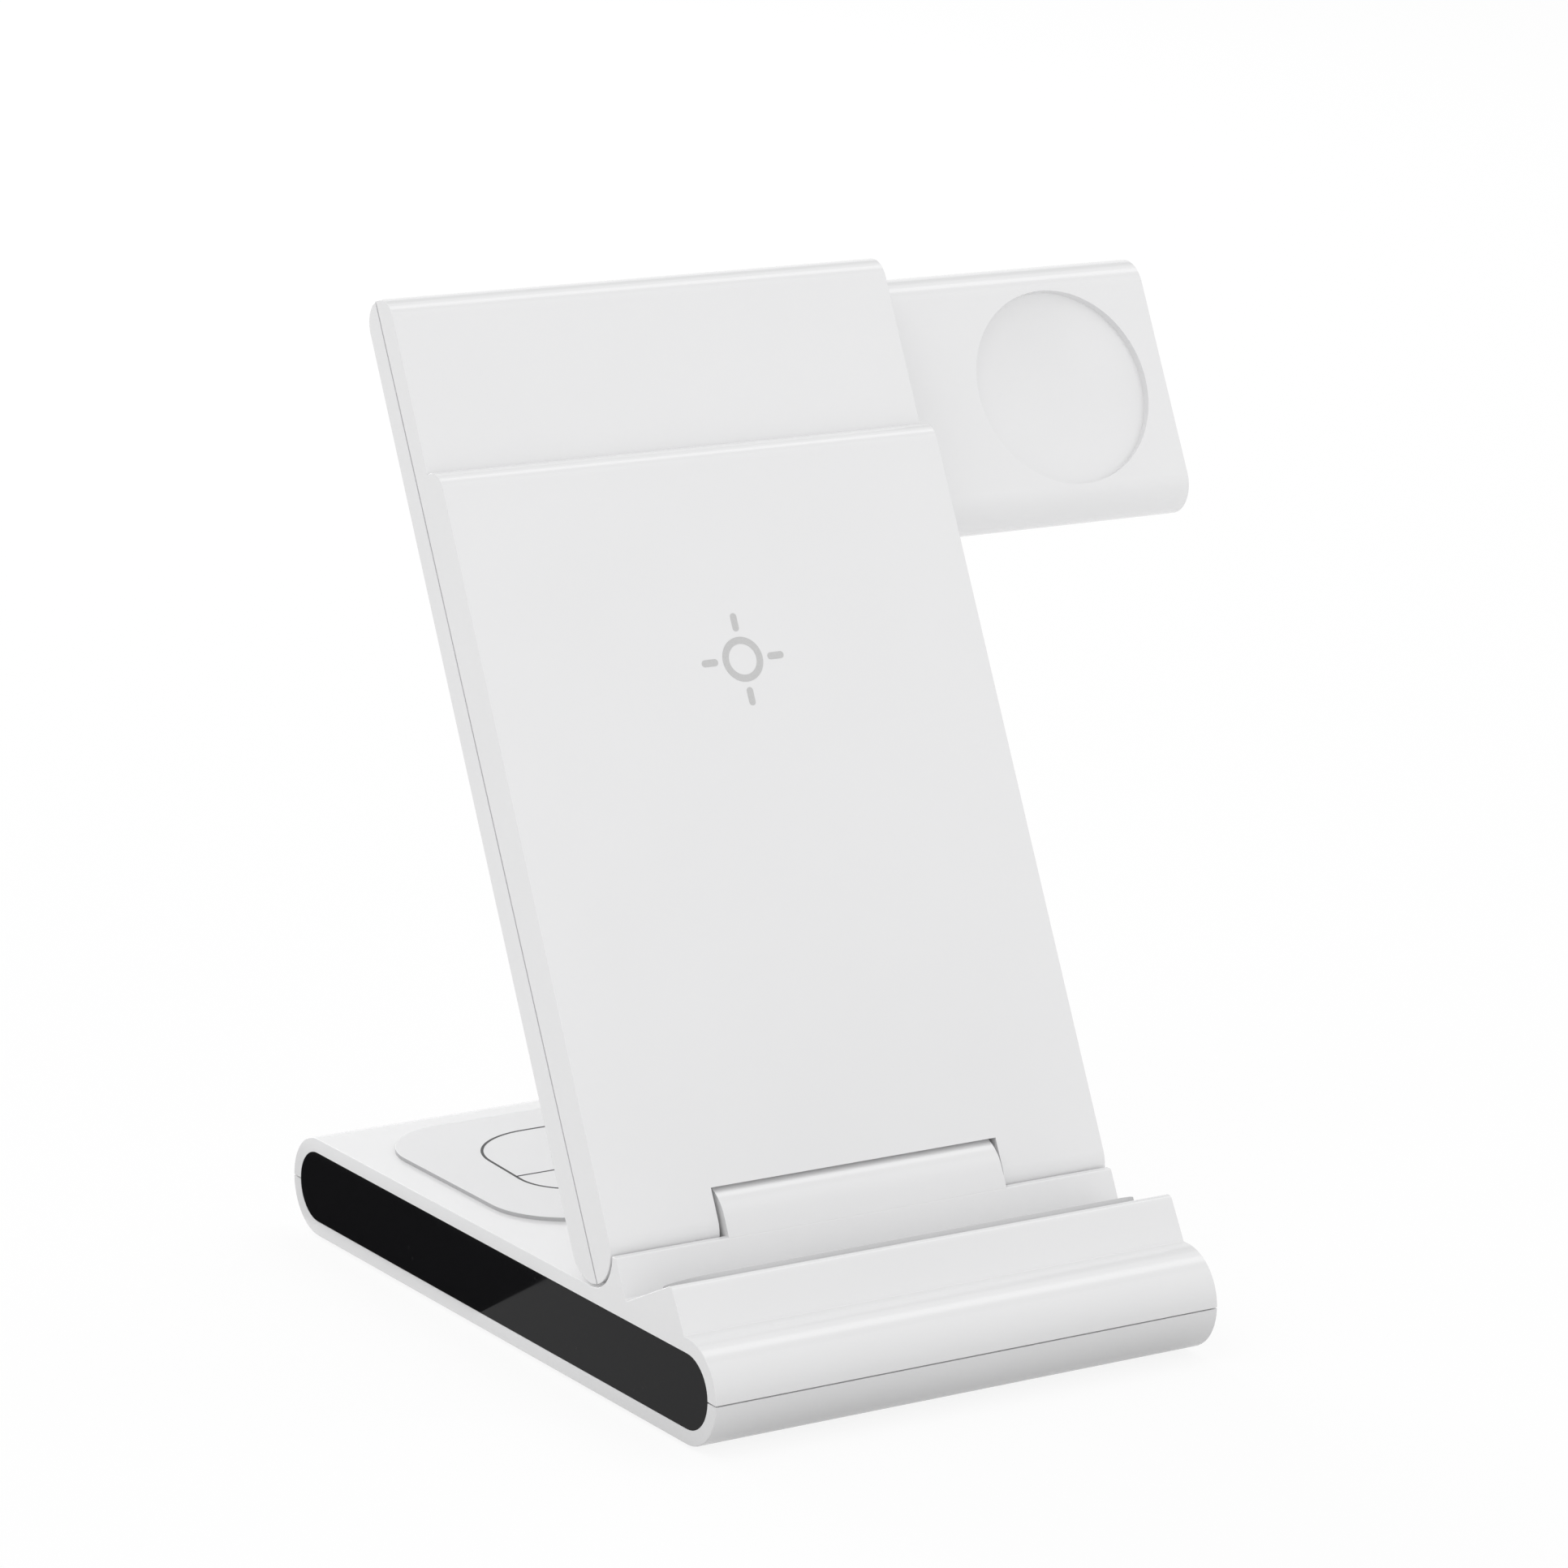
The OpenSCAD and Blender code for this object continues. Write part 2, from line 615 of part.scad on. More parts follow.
module panel_outline(inset = 0) {
    circle(panel_r - inset);
    translate([-panel_r + inset, 0]) square([panel_t - 2 * inset, step_h - step_r]);
    translate([-panel_r + step_r, 0]) square([panel_t - step_r - inset, step_h - inset]);
    translate([-panel_r + step_r, step_h - step_r]) circle(step_r - inset);
    translate([upper_front + inset, 0]) square([upper_t - 2 * inset, panel_top - top_r]);
    translate([panel_r - top_r, panel_top - top_r]) circle(top_r - inset);
}

// Everything within a distance of the seam, on both of its sides
module by_seam(ahead, behind) polygon([
    [seam_y(-big) - ahead, -big], [seam_y(-big) + behind, -big],
    [seam_y(big) + behind, big], [seam_y(big) - ahead, big]]);

module panel_inside(inset = 0) intersection() {
    panel_outline(panel_wall + inset);
    translate([-big, cavity_low + inset]) square(2 * big);
}

// Room for the barrel between the ears
module pocket_outline() {
    circle(pocket_r);
    translate([-big, -big]) square([2 * big, big]);
}

module panel_space(inset = 0) along_x(-panel_in + inset, panel_in - inset)
    panel_inside(inset);

module panel_seam() difference() {
    along_x(-big, big) by_seam(panel_seam_w / 2, panel_seam_w / 2);
    along_x(-body_w / 2 + seam_depth, body_w / 2 - seam_depth) panel_outline(seam_depth);
}

module leaf_room(side) {
    rod_x(min(0, side * (leaf_x + leaf_w / 2)), max(0, side * (leaf_x + leaf_w / 2)), shaft_d / 2 + 0.05);
    translate([side * leaf_x, -leaf_t / 2, 0]) rotate([-90, 0, 0]) linear_extrude(leaf_t)
        translate([0, -leaf_h / 2]) square([leaf_w, leaf_h], center = true);
}

module panel_cuts() {
    along_x(-notch_w / 2, notch_w / 2) pocket_outline();
    for (side = [-1, 1]) leaf_room(side);
    block([lead_x - 1.1, -1.1, 0], [lead_x + 1.1, 1.1, cavity_low + 1]);
    panel_seam();
}

module panel_front_shell() color("#ececee") on_panel() difference() {
    union() {
        difference() {
            along_x(-body_w / 2, body_w / 2) difference() {
                panel_outline();
                by_seam(0, big);
            }
            panel_space();
        }
        // Rim that enters the back shell, above the hinge leaves
        difference() {
            union() {
                intersection() {
                    panel_space();
                    along_x(-big, big) by_seam(1, 0);
                }
                intersection() {
                    panel_space(rim_fit);
                    along_x(-big, big) by_seam(1, 1.2);
                }
            }
            block([-panel_in + rim_fit + rim_t, -big, -big],
                  [panel_in - rim_fit - rim_t, big, panel_top - panel_wall - rim_fit - rim_t]);
            block([-big, -big, -big], [big, big, leaf_h + 1.5]);
        }
    }
    panel_cuts();
}

module panel_back_shell() color("#e4e4e7") on_panel() difference() {
    union() {
        difference() {
            along_x(-body_w / 2, body_w / 2) intersection() {
                panel_outline();
                by_seam(0, big);
            }
            panel_space();
        }
        for (side = [-1, 1], z = leaf_holes) rod_y(side * leaf_x, z, leaf_t / 2, inner_back + 0.5, 2.4);
        for (x = [-1, 1], z = [-1, 1])
            rod_y(x * (panel_board_w / 2 - 3), panel_board_z + z * (panel_board_h / 2 - 3), panel_board_back,
                  inner_back + 0.5, 1.8);
    }
    panel_cuts();
    for (side = [-1, 1], z = leaf_holes) rod_y(side * leaf_x, z, 0, inner_back, leaf_screw_r, $fn = fine);
    // Slot that the runner's stem slides in
    block([stem_left - travel - slot_play, 0, arm_z - stem_w / 2 - slot_play],
          [stem_left + stem_l + slot_play, big, arm_z + stem_w / 2 + slot_play]);
}

module phone_coil() color("#b87333") on_panel()
    ring_y(0, coil_h, inner_front, inner_front + coil_t, phone_coil_d / 2, 10);

module phone_ferrite() color("#3a3b3e") on_panel() translate([0, inner_front + coil_t, coil_h]) rotate([-90, 0, 0])
    linear_extrude(ferrite_t) rounded_rect(phone_coil_d + 3, phone_coil_d + 3, 4);

module panel_board() color("#2f7d4a") on_panel() {
    translate([0, panel_board_back - board_t, panel_board_z]) rotate([-90, 0, 0]) linear_extrude(board_t)
        rounded_rect(panel_board_w, panel_board_h, 1.5);
    for (x = [-14, 2]) block([x, panel_board_back - board_t - 1.2, panel_board_z - 4],
                             [x + 8, panel_board_back - board_t + 0.01, panel_board_z + 4]);
}

// Arm

module arm_outline(inset = 0) translate([arm_front + arm_t / 2, arm_z]) rotate(90) round_bar(arm_h - 2 * inset, arm_t - 2 * inset);

module cover_shape(grow) translate([(arm_left + arm_right) / 2, 0, arm_z]) rotate([-90, 0, 0])
    linear_extrude(big) rounded_rect(arm_l - 2 * cover_edge + 2 * grow, cover_h + 2 * grow, 3 + grow);

module arm_shell() color("#ececee") on_panel() difference() {
    along_x(arm_left, arm_right) arm_outline();
    intersection() {
        along_x(arm_left + arm_wall, arm_right - arm_wall) arm_outline(arm_wall);
        block([-big, -big, -big], [big, cover_inside, big]);
    }
    translate([0, arm_front + arm_t / 2, 0]) cover_shape(-cover_lap);
    translate([0, cover_inside, 0]) cover_shape(0);
    rod_y(dish_x, arm_z, arm_front - 1, arm_front + arm_t / 2, dish_r);
    rod_y(dish_x, arm_z, arm_front + arm_wall, arm_front + arm_wall + dish_t + 0.3, dish_r + dish_flange + 0.1);
    for (x = runner_holes) rod_y(x, arm_z, arm_front - 1, arm_front + arm_t / 2, leaf_screw_r + 0.1, $fn = fine);
    rod_y(arm_lead_x, arm_z, arm_front - 1, arm_front + arm_t / 2, lead_r + 0.2, $fn = fine);
}

module arm_back_cover() color("#dcdcdf") on_panel() {
    intersection() {
        translate([0, cover_inside, 0]) cover_shape(-cover_fit);
        block([-big, -big, -big], [big, arm_back, big]);
    }
    for (x = [-1, 1], z = [-1, 1])
        rod_y(arm_board_x + x * (arm_board_w / 2 - 3), arm_z + z * (arm_board_h / 2 - 3), arm_board_back, cover_inside + 0.1, 1.6);
    ring_y(dish_x, arm_z, arm_front + ferrite_back, cover_inside + 0.1, 10, 8.6);
}

module at_dish() translate([dish_x, arm_front, arm_z]) rotate([-90, 0, 0]) children();

module watch_dish() color("#e6e6e9") on_panel() at_dish() rotate_extrude() difference() {
    union() {
        translate([0, dish_wall]) square([dish_r - dish_fit, dish_sag + dish_t]);
        translate([0, arm_wall]) square([dish_r + dish_flange, dish_t]);
    }
    translate([0, dish_bottom - dish_arc]) intersection() {
        circle(dish_arc, $fn = 240);
        translate([0, -big]) square(2 * big);
    }
    // Underside of the hollow, one wall below it
    difference() {
        translate([0, arm_wall + dish_t]) square([big, big]);
        translate([0, dish_bottom - dish_arc]) circle(dish_arc + dish_t, $fn = 240);
    }
}

module watch_coil() color("#b87333") on_panel() at_dish() translate([0, 0, coil_top]) difference() {
    cylinder(h = watch_coil_t, r = watch_coil_r);
    translate([0, 0, -1]) cylinder(h = watch_coil_t + 2, r = 5);
}

module watch_ferrite() color("#3a3b3e") on_panel() at_dish() translate([0, 0, coil_top + watch_coil_t]) difference() {
    cylinder(h = watch_ferrite_t, r = watch_coil_r + 1);
    translate([0, 0, -1]) cylinder(h = watch_ferrite_t + 2, r = 4.2);
}

module watch_magnet() color("#c9cbd0") on_panel() at_dish() translate([0, 0, coil_top]) cylinder(h = ferrite_back - coil_top, r = 4.2);

module arm_board() color("#2f7d4a") on_panel() {
    translate([arm_board_x, arm_board_back - 1, arm_z]) rotate([-90, 0, 0]) linear_extrude(1)
        rounded_rect(arm_board_w, arm_board_h, 1.5);
    block([arm_board_x - arm_board_w / 4, arm_board_back - 1 - arm_board_chip, arm_z - 3],
          [arm_board_x + 1, arm_board_back - 0.99, arm_z + 4]);
}

// Lead from the runner's contacts to the arm's board
module arm_lead() color("#303236") on_panel() {
    rod_y(arm_lead_x, arm_z, head_front + 0.1, arm_lead_y, lead_r, $fn = fine);
    translate([arm_lead_x, arm_lead_y, arm_z]) sphere(r = lead_r, $fn = fine);
    rod_x(arm_lead_x, arm_board_left + arm_lead_end, lead_r, [arm_lead_y, arm_z], $fn = fine);
}

module arm_runner() color("#d9d9dc") on_panel() difference() {
    union() {
        block([stem_left, head_front, arm_z - stem_w / 2], [stem_left + stem_l, arm_front, arm_z + stem_w / 2]);
        block([stem_left - head_end, head_front, arm_z - head_w / 2],
              [stem_left + stem_l + head_end, head_back, arm_z + head_w / 2]);
    }
    for (x = runner_holes) rod_y(x, arm_z, head_front - 1, arm_front + 1, leaf_screw_r, $fn = fine);
    rod_y(arm_lead_x, arm_z, head_front - 1, arm_front + 1, lead_r + 0.2, $fn = fine);
}

module runner_screws() color("#c4c6ca") on_panel() for (x = runner_holes) {
    rod_y(x, arm_z, arm_front + arm_wall, arm_front + arm_wall + 0.8, 1.9, $fn = fine);
    rod_y(x, arm_z, head_front + 0.3, arm_front + arm_wall + 0.1, leaf_screw_r, $fn = fine);
}

// Track in the panel that guides the runner's head
module arm_track() color("#9fa2a8") on_panel() difference() {
    block([-track_end, track_front, arm_z - head_w / 2 - runner_play - track_edge],
          [track_end, inner_back, arm_z + head_w / 2 + runner_play + track_edge]);
    block([stem_left - travel - head_end - slot_play, track_lip, arm_z - head_w / 2 - runner_play],
          [stem_left + stem_l + head_end + slot_play, big, arm_z + head_w / 2 + runner_play]);
    block([stem_left - travel - head_end - slot_play, strip_front, arm_z - head_w / 2 + 1.4],
          [stem_left + stem_l + head_end + slot_play, big, arm_z + head_w / 2 - 1.4]);
}

module contact_strip() color("#2f7d4a") on_panel() block([stem_left - travel, strip_front, arm_z - head_w / 2 + 1.6],
    [stem_left + stem_l, strip_front + strip_pcb_t, arm_z + head_w / 2 - 1.6]);

module contact_pins() color("#d6b35a") on_panel() for (x = pin_x, z = [-1, 1])
    rod_y(x, arm_z + z * 3, strip_front + strip_pcb_t + 0.05, head_front, pin_r, $fn = fine);

base_bottom_shell();
base_top_shell();
side_inlay_left();
side_inlay_right();
underside_mat();
base_screws();
ballast_plate();
main_board();
usb_c_socket();
earbud_coil();
earbud_ferrite();
earbud_pad();
ledge_strip();
friction_sleeve_left();
friction_sleeve_right();
hinge_lead();
hinge_shaft_left();
hinge_shaft_right();
leaf_screws();
panel_lead();
panel_front_shell();
panel_back_shell();
phone_coil();
phone_ferrite();
panel_board();
arm_track();
contact_strip();
arm_shell();
arm_back_cover();
watch_dish();
watch_coil();
watch_ferrite();
watch_magnet();
arm_board();
arm_lead();
arm_runner();
runner_screws();
contact_pins();
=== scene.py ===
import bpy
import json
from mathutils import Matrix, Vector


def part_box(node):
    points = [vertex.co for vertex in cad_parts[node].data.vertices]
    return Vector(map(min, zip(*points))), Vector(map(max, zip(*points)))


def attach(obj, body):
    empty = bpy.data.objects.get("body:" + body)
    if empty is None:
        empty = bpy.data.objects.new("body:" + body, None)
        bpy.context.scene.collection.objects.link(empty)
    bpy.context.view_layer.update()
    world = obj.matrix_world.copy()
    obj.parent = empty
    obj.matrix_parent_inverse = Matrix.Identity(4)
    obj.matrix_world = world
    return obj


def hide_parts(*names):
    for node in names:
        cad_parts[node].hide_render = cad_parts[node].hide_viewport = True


bl_info = {
    "name": "Folding charger",
    "version": (1, 0, 0),
    "blender": (4, 5, 0),
    "location": "View3D > Sidebar > Charger",
    "description": "Fine edges, prints, finishes and a pale studio for a folding charger",
    "category": "Object",
}

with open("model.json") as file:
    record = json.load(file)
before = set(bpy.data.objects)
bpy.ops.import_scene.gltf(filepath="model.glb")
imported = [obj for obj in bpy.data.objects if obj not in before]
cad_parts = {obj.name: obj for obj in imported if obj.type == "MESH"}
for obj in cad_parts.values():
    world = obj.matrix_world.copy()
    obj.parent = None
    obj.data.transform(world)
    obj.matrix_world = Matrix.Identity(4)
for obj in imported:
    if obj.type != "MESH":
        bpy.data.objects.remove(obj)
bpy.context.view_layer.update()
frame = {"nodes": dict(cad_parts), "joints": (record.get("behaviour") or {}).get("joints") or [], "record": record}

import json
import math
from collections import namedtuple

import bmesh
import bpy
from bpy.props import FloatProperty, FloatVectorProperty, PointerProperty
from mathutils import Matrix, Vector

MM = 0.001
NODES = frame["nodes"]
UP = Vector((0.0, 0.0, 1.0))

# The charger. The panel's own frame has its origin on the hinge axis and Z along the panel.
HINGE = Vector(next(j["pos_m"] for j in frame["joints"] if j["name"] == "panel_hinge"))
PANEL_ROUND = 5.3 * MM  # the panel's half thickness, and how far it reaches below the hinge
PANEL_RUN = 137.9 * MM  # the panel's whole length
PHONE_COIL = Vector((0.0, 0.0, 75.4 * MM))  # middles of the coils, two in the panel's frame
WATCH_COIL = Vector((71.0 * MM, 0.0, 112.1 * MM))
EARBUD_COIL = Vector((0.0, 23.6 * MM, 0.0))
RING_LEFT = 0.1 * MM  # width of the dish's flat ring once it is moved into the arm's wall

# Limits for finding and joining the points and edges of a mesh
TOUCH = 0.01 * MM  # points closer than this are at the same place
MERGE = 0.002 * MM  # points closer than this become one
NEARLY_FLAT = math.radians(0.4)  # edges between faces that turn less are left out
CORNER = math.radians(40.0)  # edges between faces that turn less get no radius
SMOOTH = math.radians(32.0)  # faces that turn less than this shade as one curved surface
SMOOTH_DISH = math.radians(12.0)
END_FACE = 0.99  # a face whose normal's X is more than this ends a shell
CLEAR_OF_SEAM = 0.6  # how far an edge of the outline lies from the seam, in seam widths
FACES_IN = -0.3  # a side wall whose normal scores less against the way out faces inwards

# Steps and proportions of edges and prints
EDGE_STEPS = 3
CASE_CORNER_STEPS = 16
LID_LINE = 0.85  # the lid's line, in widths of the outline's
RING_STEPS = 72
TICK_STEPS = 8
TICK_GAP = 0.8  # between the mark's ring and a tick, in line widths
TICK_ROUNDING = 0.49  # at a tick's corners, in line widths

# Finishes
BASE_SEAM_SHADE_FILL = 0.8  # the part of a seam's width that gets painted shade in the plastic's finish
PANEL_SEAM_SHADE_FILL = 0.9
PAD_PRINT = 0.07 * MM  # how far the pad's pale print reaches down its rounded edge
CONTACT_TRACK = 3.0 * MM  # from the contact strip's middle to each of its gilt tracks
CONTACT_TRACK_WIDTH = 1.8 * MM
OWN_FINISH = {"phone_coil": "phone copper", "watch_coil": "watch copper",
              "contact_strip": "contact board"}

# Stage
FLOOR_SIZE = 8.0
FLOOR_DROP = 0.05 * MM  # keeps the floor clear of the mat
PAPER = (0.9, 0.9, 0.9, 1.0)
WHITE = (1.0, 1.0, 1.0, 1.0)
BEFORE_NOSE = (0.0, -0.08, 0.0)  # the place on the floor where it gives back least light: painted shade standing in for the contact shadow before the nose
NOSE_SHADE = (0.04, 0.08)  # distances from there between which its grey changes
LAMP_AIM = Vector((0.0, 0.0, 0.06))
SENSOR_WIDTH = 36.0
CAMERA_RANGE = (0.01, 20.0)

# Cards that only reflections see: name, tone, height and corners. The floor card is what the
# left inlay's rear part reflects. The overhead ones lie on both sides of the overhead strip, so
# that its reflection in the round edges has darker bands next to it.
CARDS = (
    ("floor card", 0.0, 0.0001,
     ((-0.0597, 0.0187), (-0.0428, 0.0096), (-0.0597, 0.11), (-0.0428, 0.11))),
    ("overhead card near", 0.55, 1.5, ((0.4, -0.6), (2.3, -0.6), (0.4, -0.18), (2.3, -0.18))),
    ("overhead card far", 0.3, 1.5, ((0.4, 0.75), (2.3, 0.75), (0.4, 1.7), (2.3, 1.7))),
)

# Lamps: name, the stage's setting for the power, place, size, and whether it is aimed or faces down
LAMPS = (
    ("left lamp", "left", (-0.85, -0.3, 1.75), (1.0, 1.0), True),
    ("front lamp", "front", (0.2, -1.8, 0.6), (1.2, 1.2), True),
    ("rear lamp", "rear", (0.0, 1.8, 0.5), (1.0, 1.0), True),
    ("overhead strip", "strip", (0.92, 0.05, 1.45), (0.9, 0.4), False),
)


# What a user can change

def length(name, description, default):
    return FloatProperty(name=name, description=description, default=default, min=0.0,
                         unit="LENGTH", precision=5)


def angle(name, description, degrees):
    return FloatProperty(name=name, description=description, default=math.radians(degrees),
                         subtype="ANGLE")


def power(name, description, default):
    return FloatProperty(name=name, description=description, default=default, min=0.0)


def share(name, description, default):
    return FloatProperty(name=name, description=description, default=default, min=0.0, max=1.0,
                         subtype="FACTOR")


def colour(name, description, default):
    return FloatVectorProperty(name=name, description=description, default=default, size=3,
                               min=0.0, max=1.0, subtype="COLOR")


class ChargerSizes(bpy.types.PropertyGroup):
    lean: angle("Panel lean", "How far the open panel leans back", 25.5)
    edge: length("Edge radius", "Radius along the ends of the moulded shells", 0.12 * MM)
    fine_edge: length("Fine edge radius", "Radius on the pad, strip, mat and inlays", 0.08 * MM)
    base_seam: length("Base seam", "Height of the base's seam above its lower face", 7.3 * MM)
    base_seam_width: length("Base seam width", "Open line between the base's shells", 0.2 * MM)
    panel_seam_width: length("Panel seam width", "Open line between the panel's shells", 0.3 * MM)
    seam_front: length("Seam at the hinge", "How far the panel's seam lies behind its middle",
                       0.45 * MM)
    seam_top: length("Seam at the top", "The same at the panel's top", 1.85 * MM)
    print_height: length("Print height", "How far a print stands on its surface", 0.03 * MM)
    hollow: length("Watch hollow", "Radius of the hollow at its edge in the CAD", 14.25 * MM)
    hollow_widening: length("Wider hollow", "How far that edge is carried outwards", 0.6 * MM)
    case_front: length("Case front", "Width of the drawn earbud case at its front", 52.0 * MM)
    case_back: length("Case back", "Width of the drawn case at its back", 48.6 * MM)
    case_depth: length("Case depth", "Depth of the drawn case", 29.7 * MM)
    case_place: length("Case place", "How far the case lies behind the pad's middle", 1.6 * MM)
    case_corner_front: length("Front corners", "Radius of the case's front corners", 9.0 * MM)
    case_corner_back: length("Back corners", "Radius of the case's back corners", 10.9 * MM)
    case_lid: length("Lid line", "How far the lid's line lies before the middle", 4.5 * MM)
    case_line: length("Case line", "Width of the drawn line", 0.4 * MM)
    mark_height: length("Mark height", "Height of the mark along the panel", 75.4 * MM)
    mark_aside: length("Mark aside", "How far the mark stands to the right", 0.3 * MM)
    mark_ring: length("Mark ring", "Outer radius of the mark's ring", 3.2 * MM)
    mark_line: length("Mark line", "Width of the mark's lines", 1.0 * MM)
    mark_reach: length("Mark reach", "From the mark's middle to the ends of its ticks", 6.6 * MM)


class ChargerColours(bpy.types.PropertyGroup):
    shell: colour("Shell", "Pale plastic of the upper shells", (0.80, 0.80, 0.805))
    lower: colour("Lower shell", "Pale plastic of the lower shell and the arm's cover",
                  (0.785, 0.785, 0.79))
    rear: colour("Rear shell", "Pale plastic of the panel's rear shell", (0.795, 0.795, 0.8))
    pad: colour("Pad", "Print on the earbud pad", (0.745, 0.745, 0.75))
    grip: colour("Grip", "Soft strip on the phone ledge, and the pad's edge",
                 (0.56, 0.56, 0.565))
    inlay: colour("Inlay", "Gloss black of the side inlays", (0.0078, 0.0078, 0.0085))
    mark: colour("Mark", "Grey of the coil's mark", (0.545, 0.545, 0.545))
    line: colour("Line", "Near black of the drawn case", (0.008, 0.008, 0.009))
    mat: colour("Mat", "Rubber under the base", (0.36, 0.36, 0.37))
    # The two seam tones darken the seam grooves as painted shade.
    base_seam: share("Base seam", "Tone of the base's seam against its plastic", 0.6)
    panel_seam: share("Panel seam", "Tone of the panel's seam against its plastic", 0.25)


class ChargerStage(bpy.types.PropertyGroup):
    lens: FloatProperty(name="Lens", description="Focal length on a 36 mm sensor",
                        default=137.8, min=20.0)
    azimuth: angle("Azimuth", "Direction of view, from the back towards the right", 32.12)
    pitch: angle("Pitch", "How far the camera looks down", 13.45)
    roll: angle("Roll", "Turn of the camera about its view", -0.54)
    eye: FloatVectorProperty(name="Eye", description="Place of the camera", size=3,
                             default=(-0.4247, -0.6869, 0.2668), subtype="XYZ", unit="LENGTH")
    ambient: power("Ambient", "Strength of the light from all round", 0.79)
    left: power("Left lamp", "Power of the high lamp at the left", 4.7)
    front: power("Front lamp", "Power of the low lamp in front", 4.5)
    rear: power("Rear lamp", "Power of the low lamp behind", 14.2)
    strip: power("Overhead strip", "Power of the strip whose reflection draws bright lines", 1.6)
    bounce: share("Floor grey", "How much light the floor gives back", 0.9)
    # The floor's grey before the nose is painted shade: it stands in for the contact shadow there and darkens the
    # nose's underside.
    bounce_front_shade: share("Floor grey in front", "The same before the charger's nose", 0.5)
    veil: share("Floor veil", "How far the white hides the floor's shadow", 0.88)


# Small helpers

def deselect():
    """Leaves nothing selected, so that an operator acts only on what is selected next."""
    if bpy.context.object and bpy.context.object.mode != "OBJECT":
        bpy.ops.object.mode_set(mode="OBJECT")
    bpy.ops.object.select_all(action="DESELECT")


def pick(obj):
    """Makes this the one selected and active object."""
    deselect()
    obj.select_set(True)
    bpy.context.view_layer.objects.active = obj


def new_plane(size=1.0, location=(0.0, 0.0, 0.0)):
    deselect()
    bpy.ops.mesh.primitive_plane_add(size=size, location=location)
    return bpy.context.object


def middle(box):
    low, high = box
    return (low + high) / 2


def settings(context):
    """The sizes, and the finishes by their names."""
    return context.scene.charger_sizes, finishes(context.scene)


def panel_matrix(sizes):
    """From the panel's own frame to the charger's."""
    return Matrix.Translation(HINGE) @ Matrix.Rotation(-sizes.lean, 4, "X")


def panel_seam(sizes):
    """Normal and distance from the origin of the plane of the panel's seam."""
    rise = (sizes.seam_top - sizes.seam_front) / PANEL_RUN
    normal = panel_matrix(sizes).to_3x3() @ Vector((0.0, 1.0, -rise))
    return normal, normal.dot(HINGE) + sizes.seam_front + rise * PANEL_ROUND


def dress(obj, body, finish):
    """Gives a finished piece its finish, and lets it ride on its body."""
    obj.data.materials.clear()
    obj.data.materials.append(finish)
    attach(obj, body)


def settle(obj, matrix, name, body, finish):
    """Moves a finished piece's mesh to its place, with its object left at the origin."""
    obj.matrix_world = matrix
    pick(obj)
    bpy.ops.object.transform_apply(location=True, rotation=True, scale=True)
    obj.name = name
    obj.data.name = name
    dress(obj, body, finish)


def raise_print(obj, height):
    """Gives flat shapes the thickness of a printed layer."""
    pick(obj)
    bpy.ops.object.mode_set(mode="EDIT")
    bpy.ops.mesh.select_all(action="SELECT")
    bpy.ops.mesh.extrude_region_move(TRANSFORM_OT_translate={"value": (0.0, 0.0, height)})
    bpy.ops.mesh.select_all(action="SELECT")
    bpy.ops.mesh.normals_make_consistent(inside=False)
    bpy.ops.object.mode_set(mode="OBJECT")


def weigh_edges(mesh, wants_edge):
    """Marks the corners that get a radius, in a mesh that is open in edit mode."""
    layers = mesh.edges.layers.float
    weight = layers.get("bevel_weight_edge") or layers.new("bevel_weight_edge")
    for edge in mesh.edges:
        if len(edge.link_faces) == 2 and edge.calc_face_angle(0.0) > CORNER and wants_edge(edge):
            edge[weight] = 1.0


def fine_copy(node, name, body, finish, wants_edge=None, radius=0.0, smooth=SMOOTH):
    """A merged copy of a CAD piece, with a radius on the wanted edges and smooth curved faces."""
    obj = bpy.data.objects.new(name, NODES[node].data.copy())
    bpy.context.scene.collection.objects.link(obj)
    pick(obj)
    bpy.ops.object.mode_set(mode="EDIT")
    bpy.ops.mesh.customdata_custom_splitnormals_clear()
    bpy.ops.mesh.select_all(action="SELECT")
    bpy.ops.mesh.remove_doubles(threshold=MERGE)
    bpy.ops.mesh.dissolve_limited(angle_limit=NEARLY_FLAT, use_dissolve_boundaries=False)
    bpy.ops.mesh.select_all(action="DESELECT")
    if wants_edge:
        weigh_edges(bmesh.from_edit_mesh(obj.data), wants_edge)
        bmesh.update_edit_mesh(obj.data)
    bpy.ops.object.mode_set(mode="OBJECT")
    if wants_edge:
        bevel = obj.modifiers.new("Edge radius", "BEVEL")
        bevel.limit_method = "WEIGHT"
        bevel.width = radius
        bevel.segments = EDGE_STEPS
        bevel.use_clamp_overlap = False
        bpy.ops.object.modifier_apply(modifier=bevel.name)
    bpy.ops.object.shade_smooth_by_angle(angle=smooth)
    flat = obj.modifiers.new("Flat faces stay flat", "WEIGHTED_NORMAL")
    flat.weight = 100
    flat.keep_sharp = True
    bpy.ops.object.modifier_apply(modifier=flat.name)
    dress(obj, body, finish)
    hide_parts(node)
    return obj


def every_edge(edge):
    return True


def ends_at(*planes):
    """Picks the edges of the faces that end a shell, at these X."""
    def wanted(edge):
        for x in planes:
            if all(abs(vert.co.x - x) < TOUCH for vert in edge.verts):
                return any(abs(face.normal.x) > END_FACE for face in edge.link_faces)
        return False
    return wanted


def outward(edge, nearest_inside):
    """True if the side wall at this edge faces away from the nearest place inside the shell."""
    place = (edge.verts[0].co + edge.verts[1].co) / 2
    away = place - nearest_inside(place)
    away.x = 0.0
    away.normalize()
    side = min(edge.link_faces, key=lambda face: abs(face.normal.x))
    return side.normal.dot(away) > FACES_IN


# Shader nodes

# Sockets of a Mix node that mixes colours
MIX_FACTOR, MIX_FIRST, MIX_SECOND, MIX_RESULT = 0, 6, 7, 2


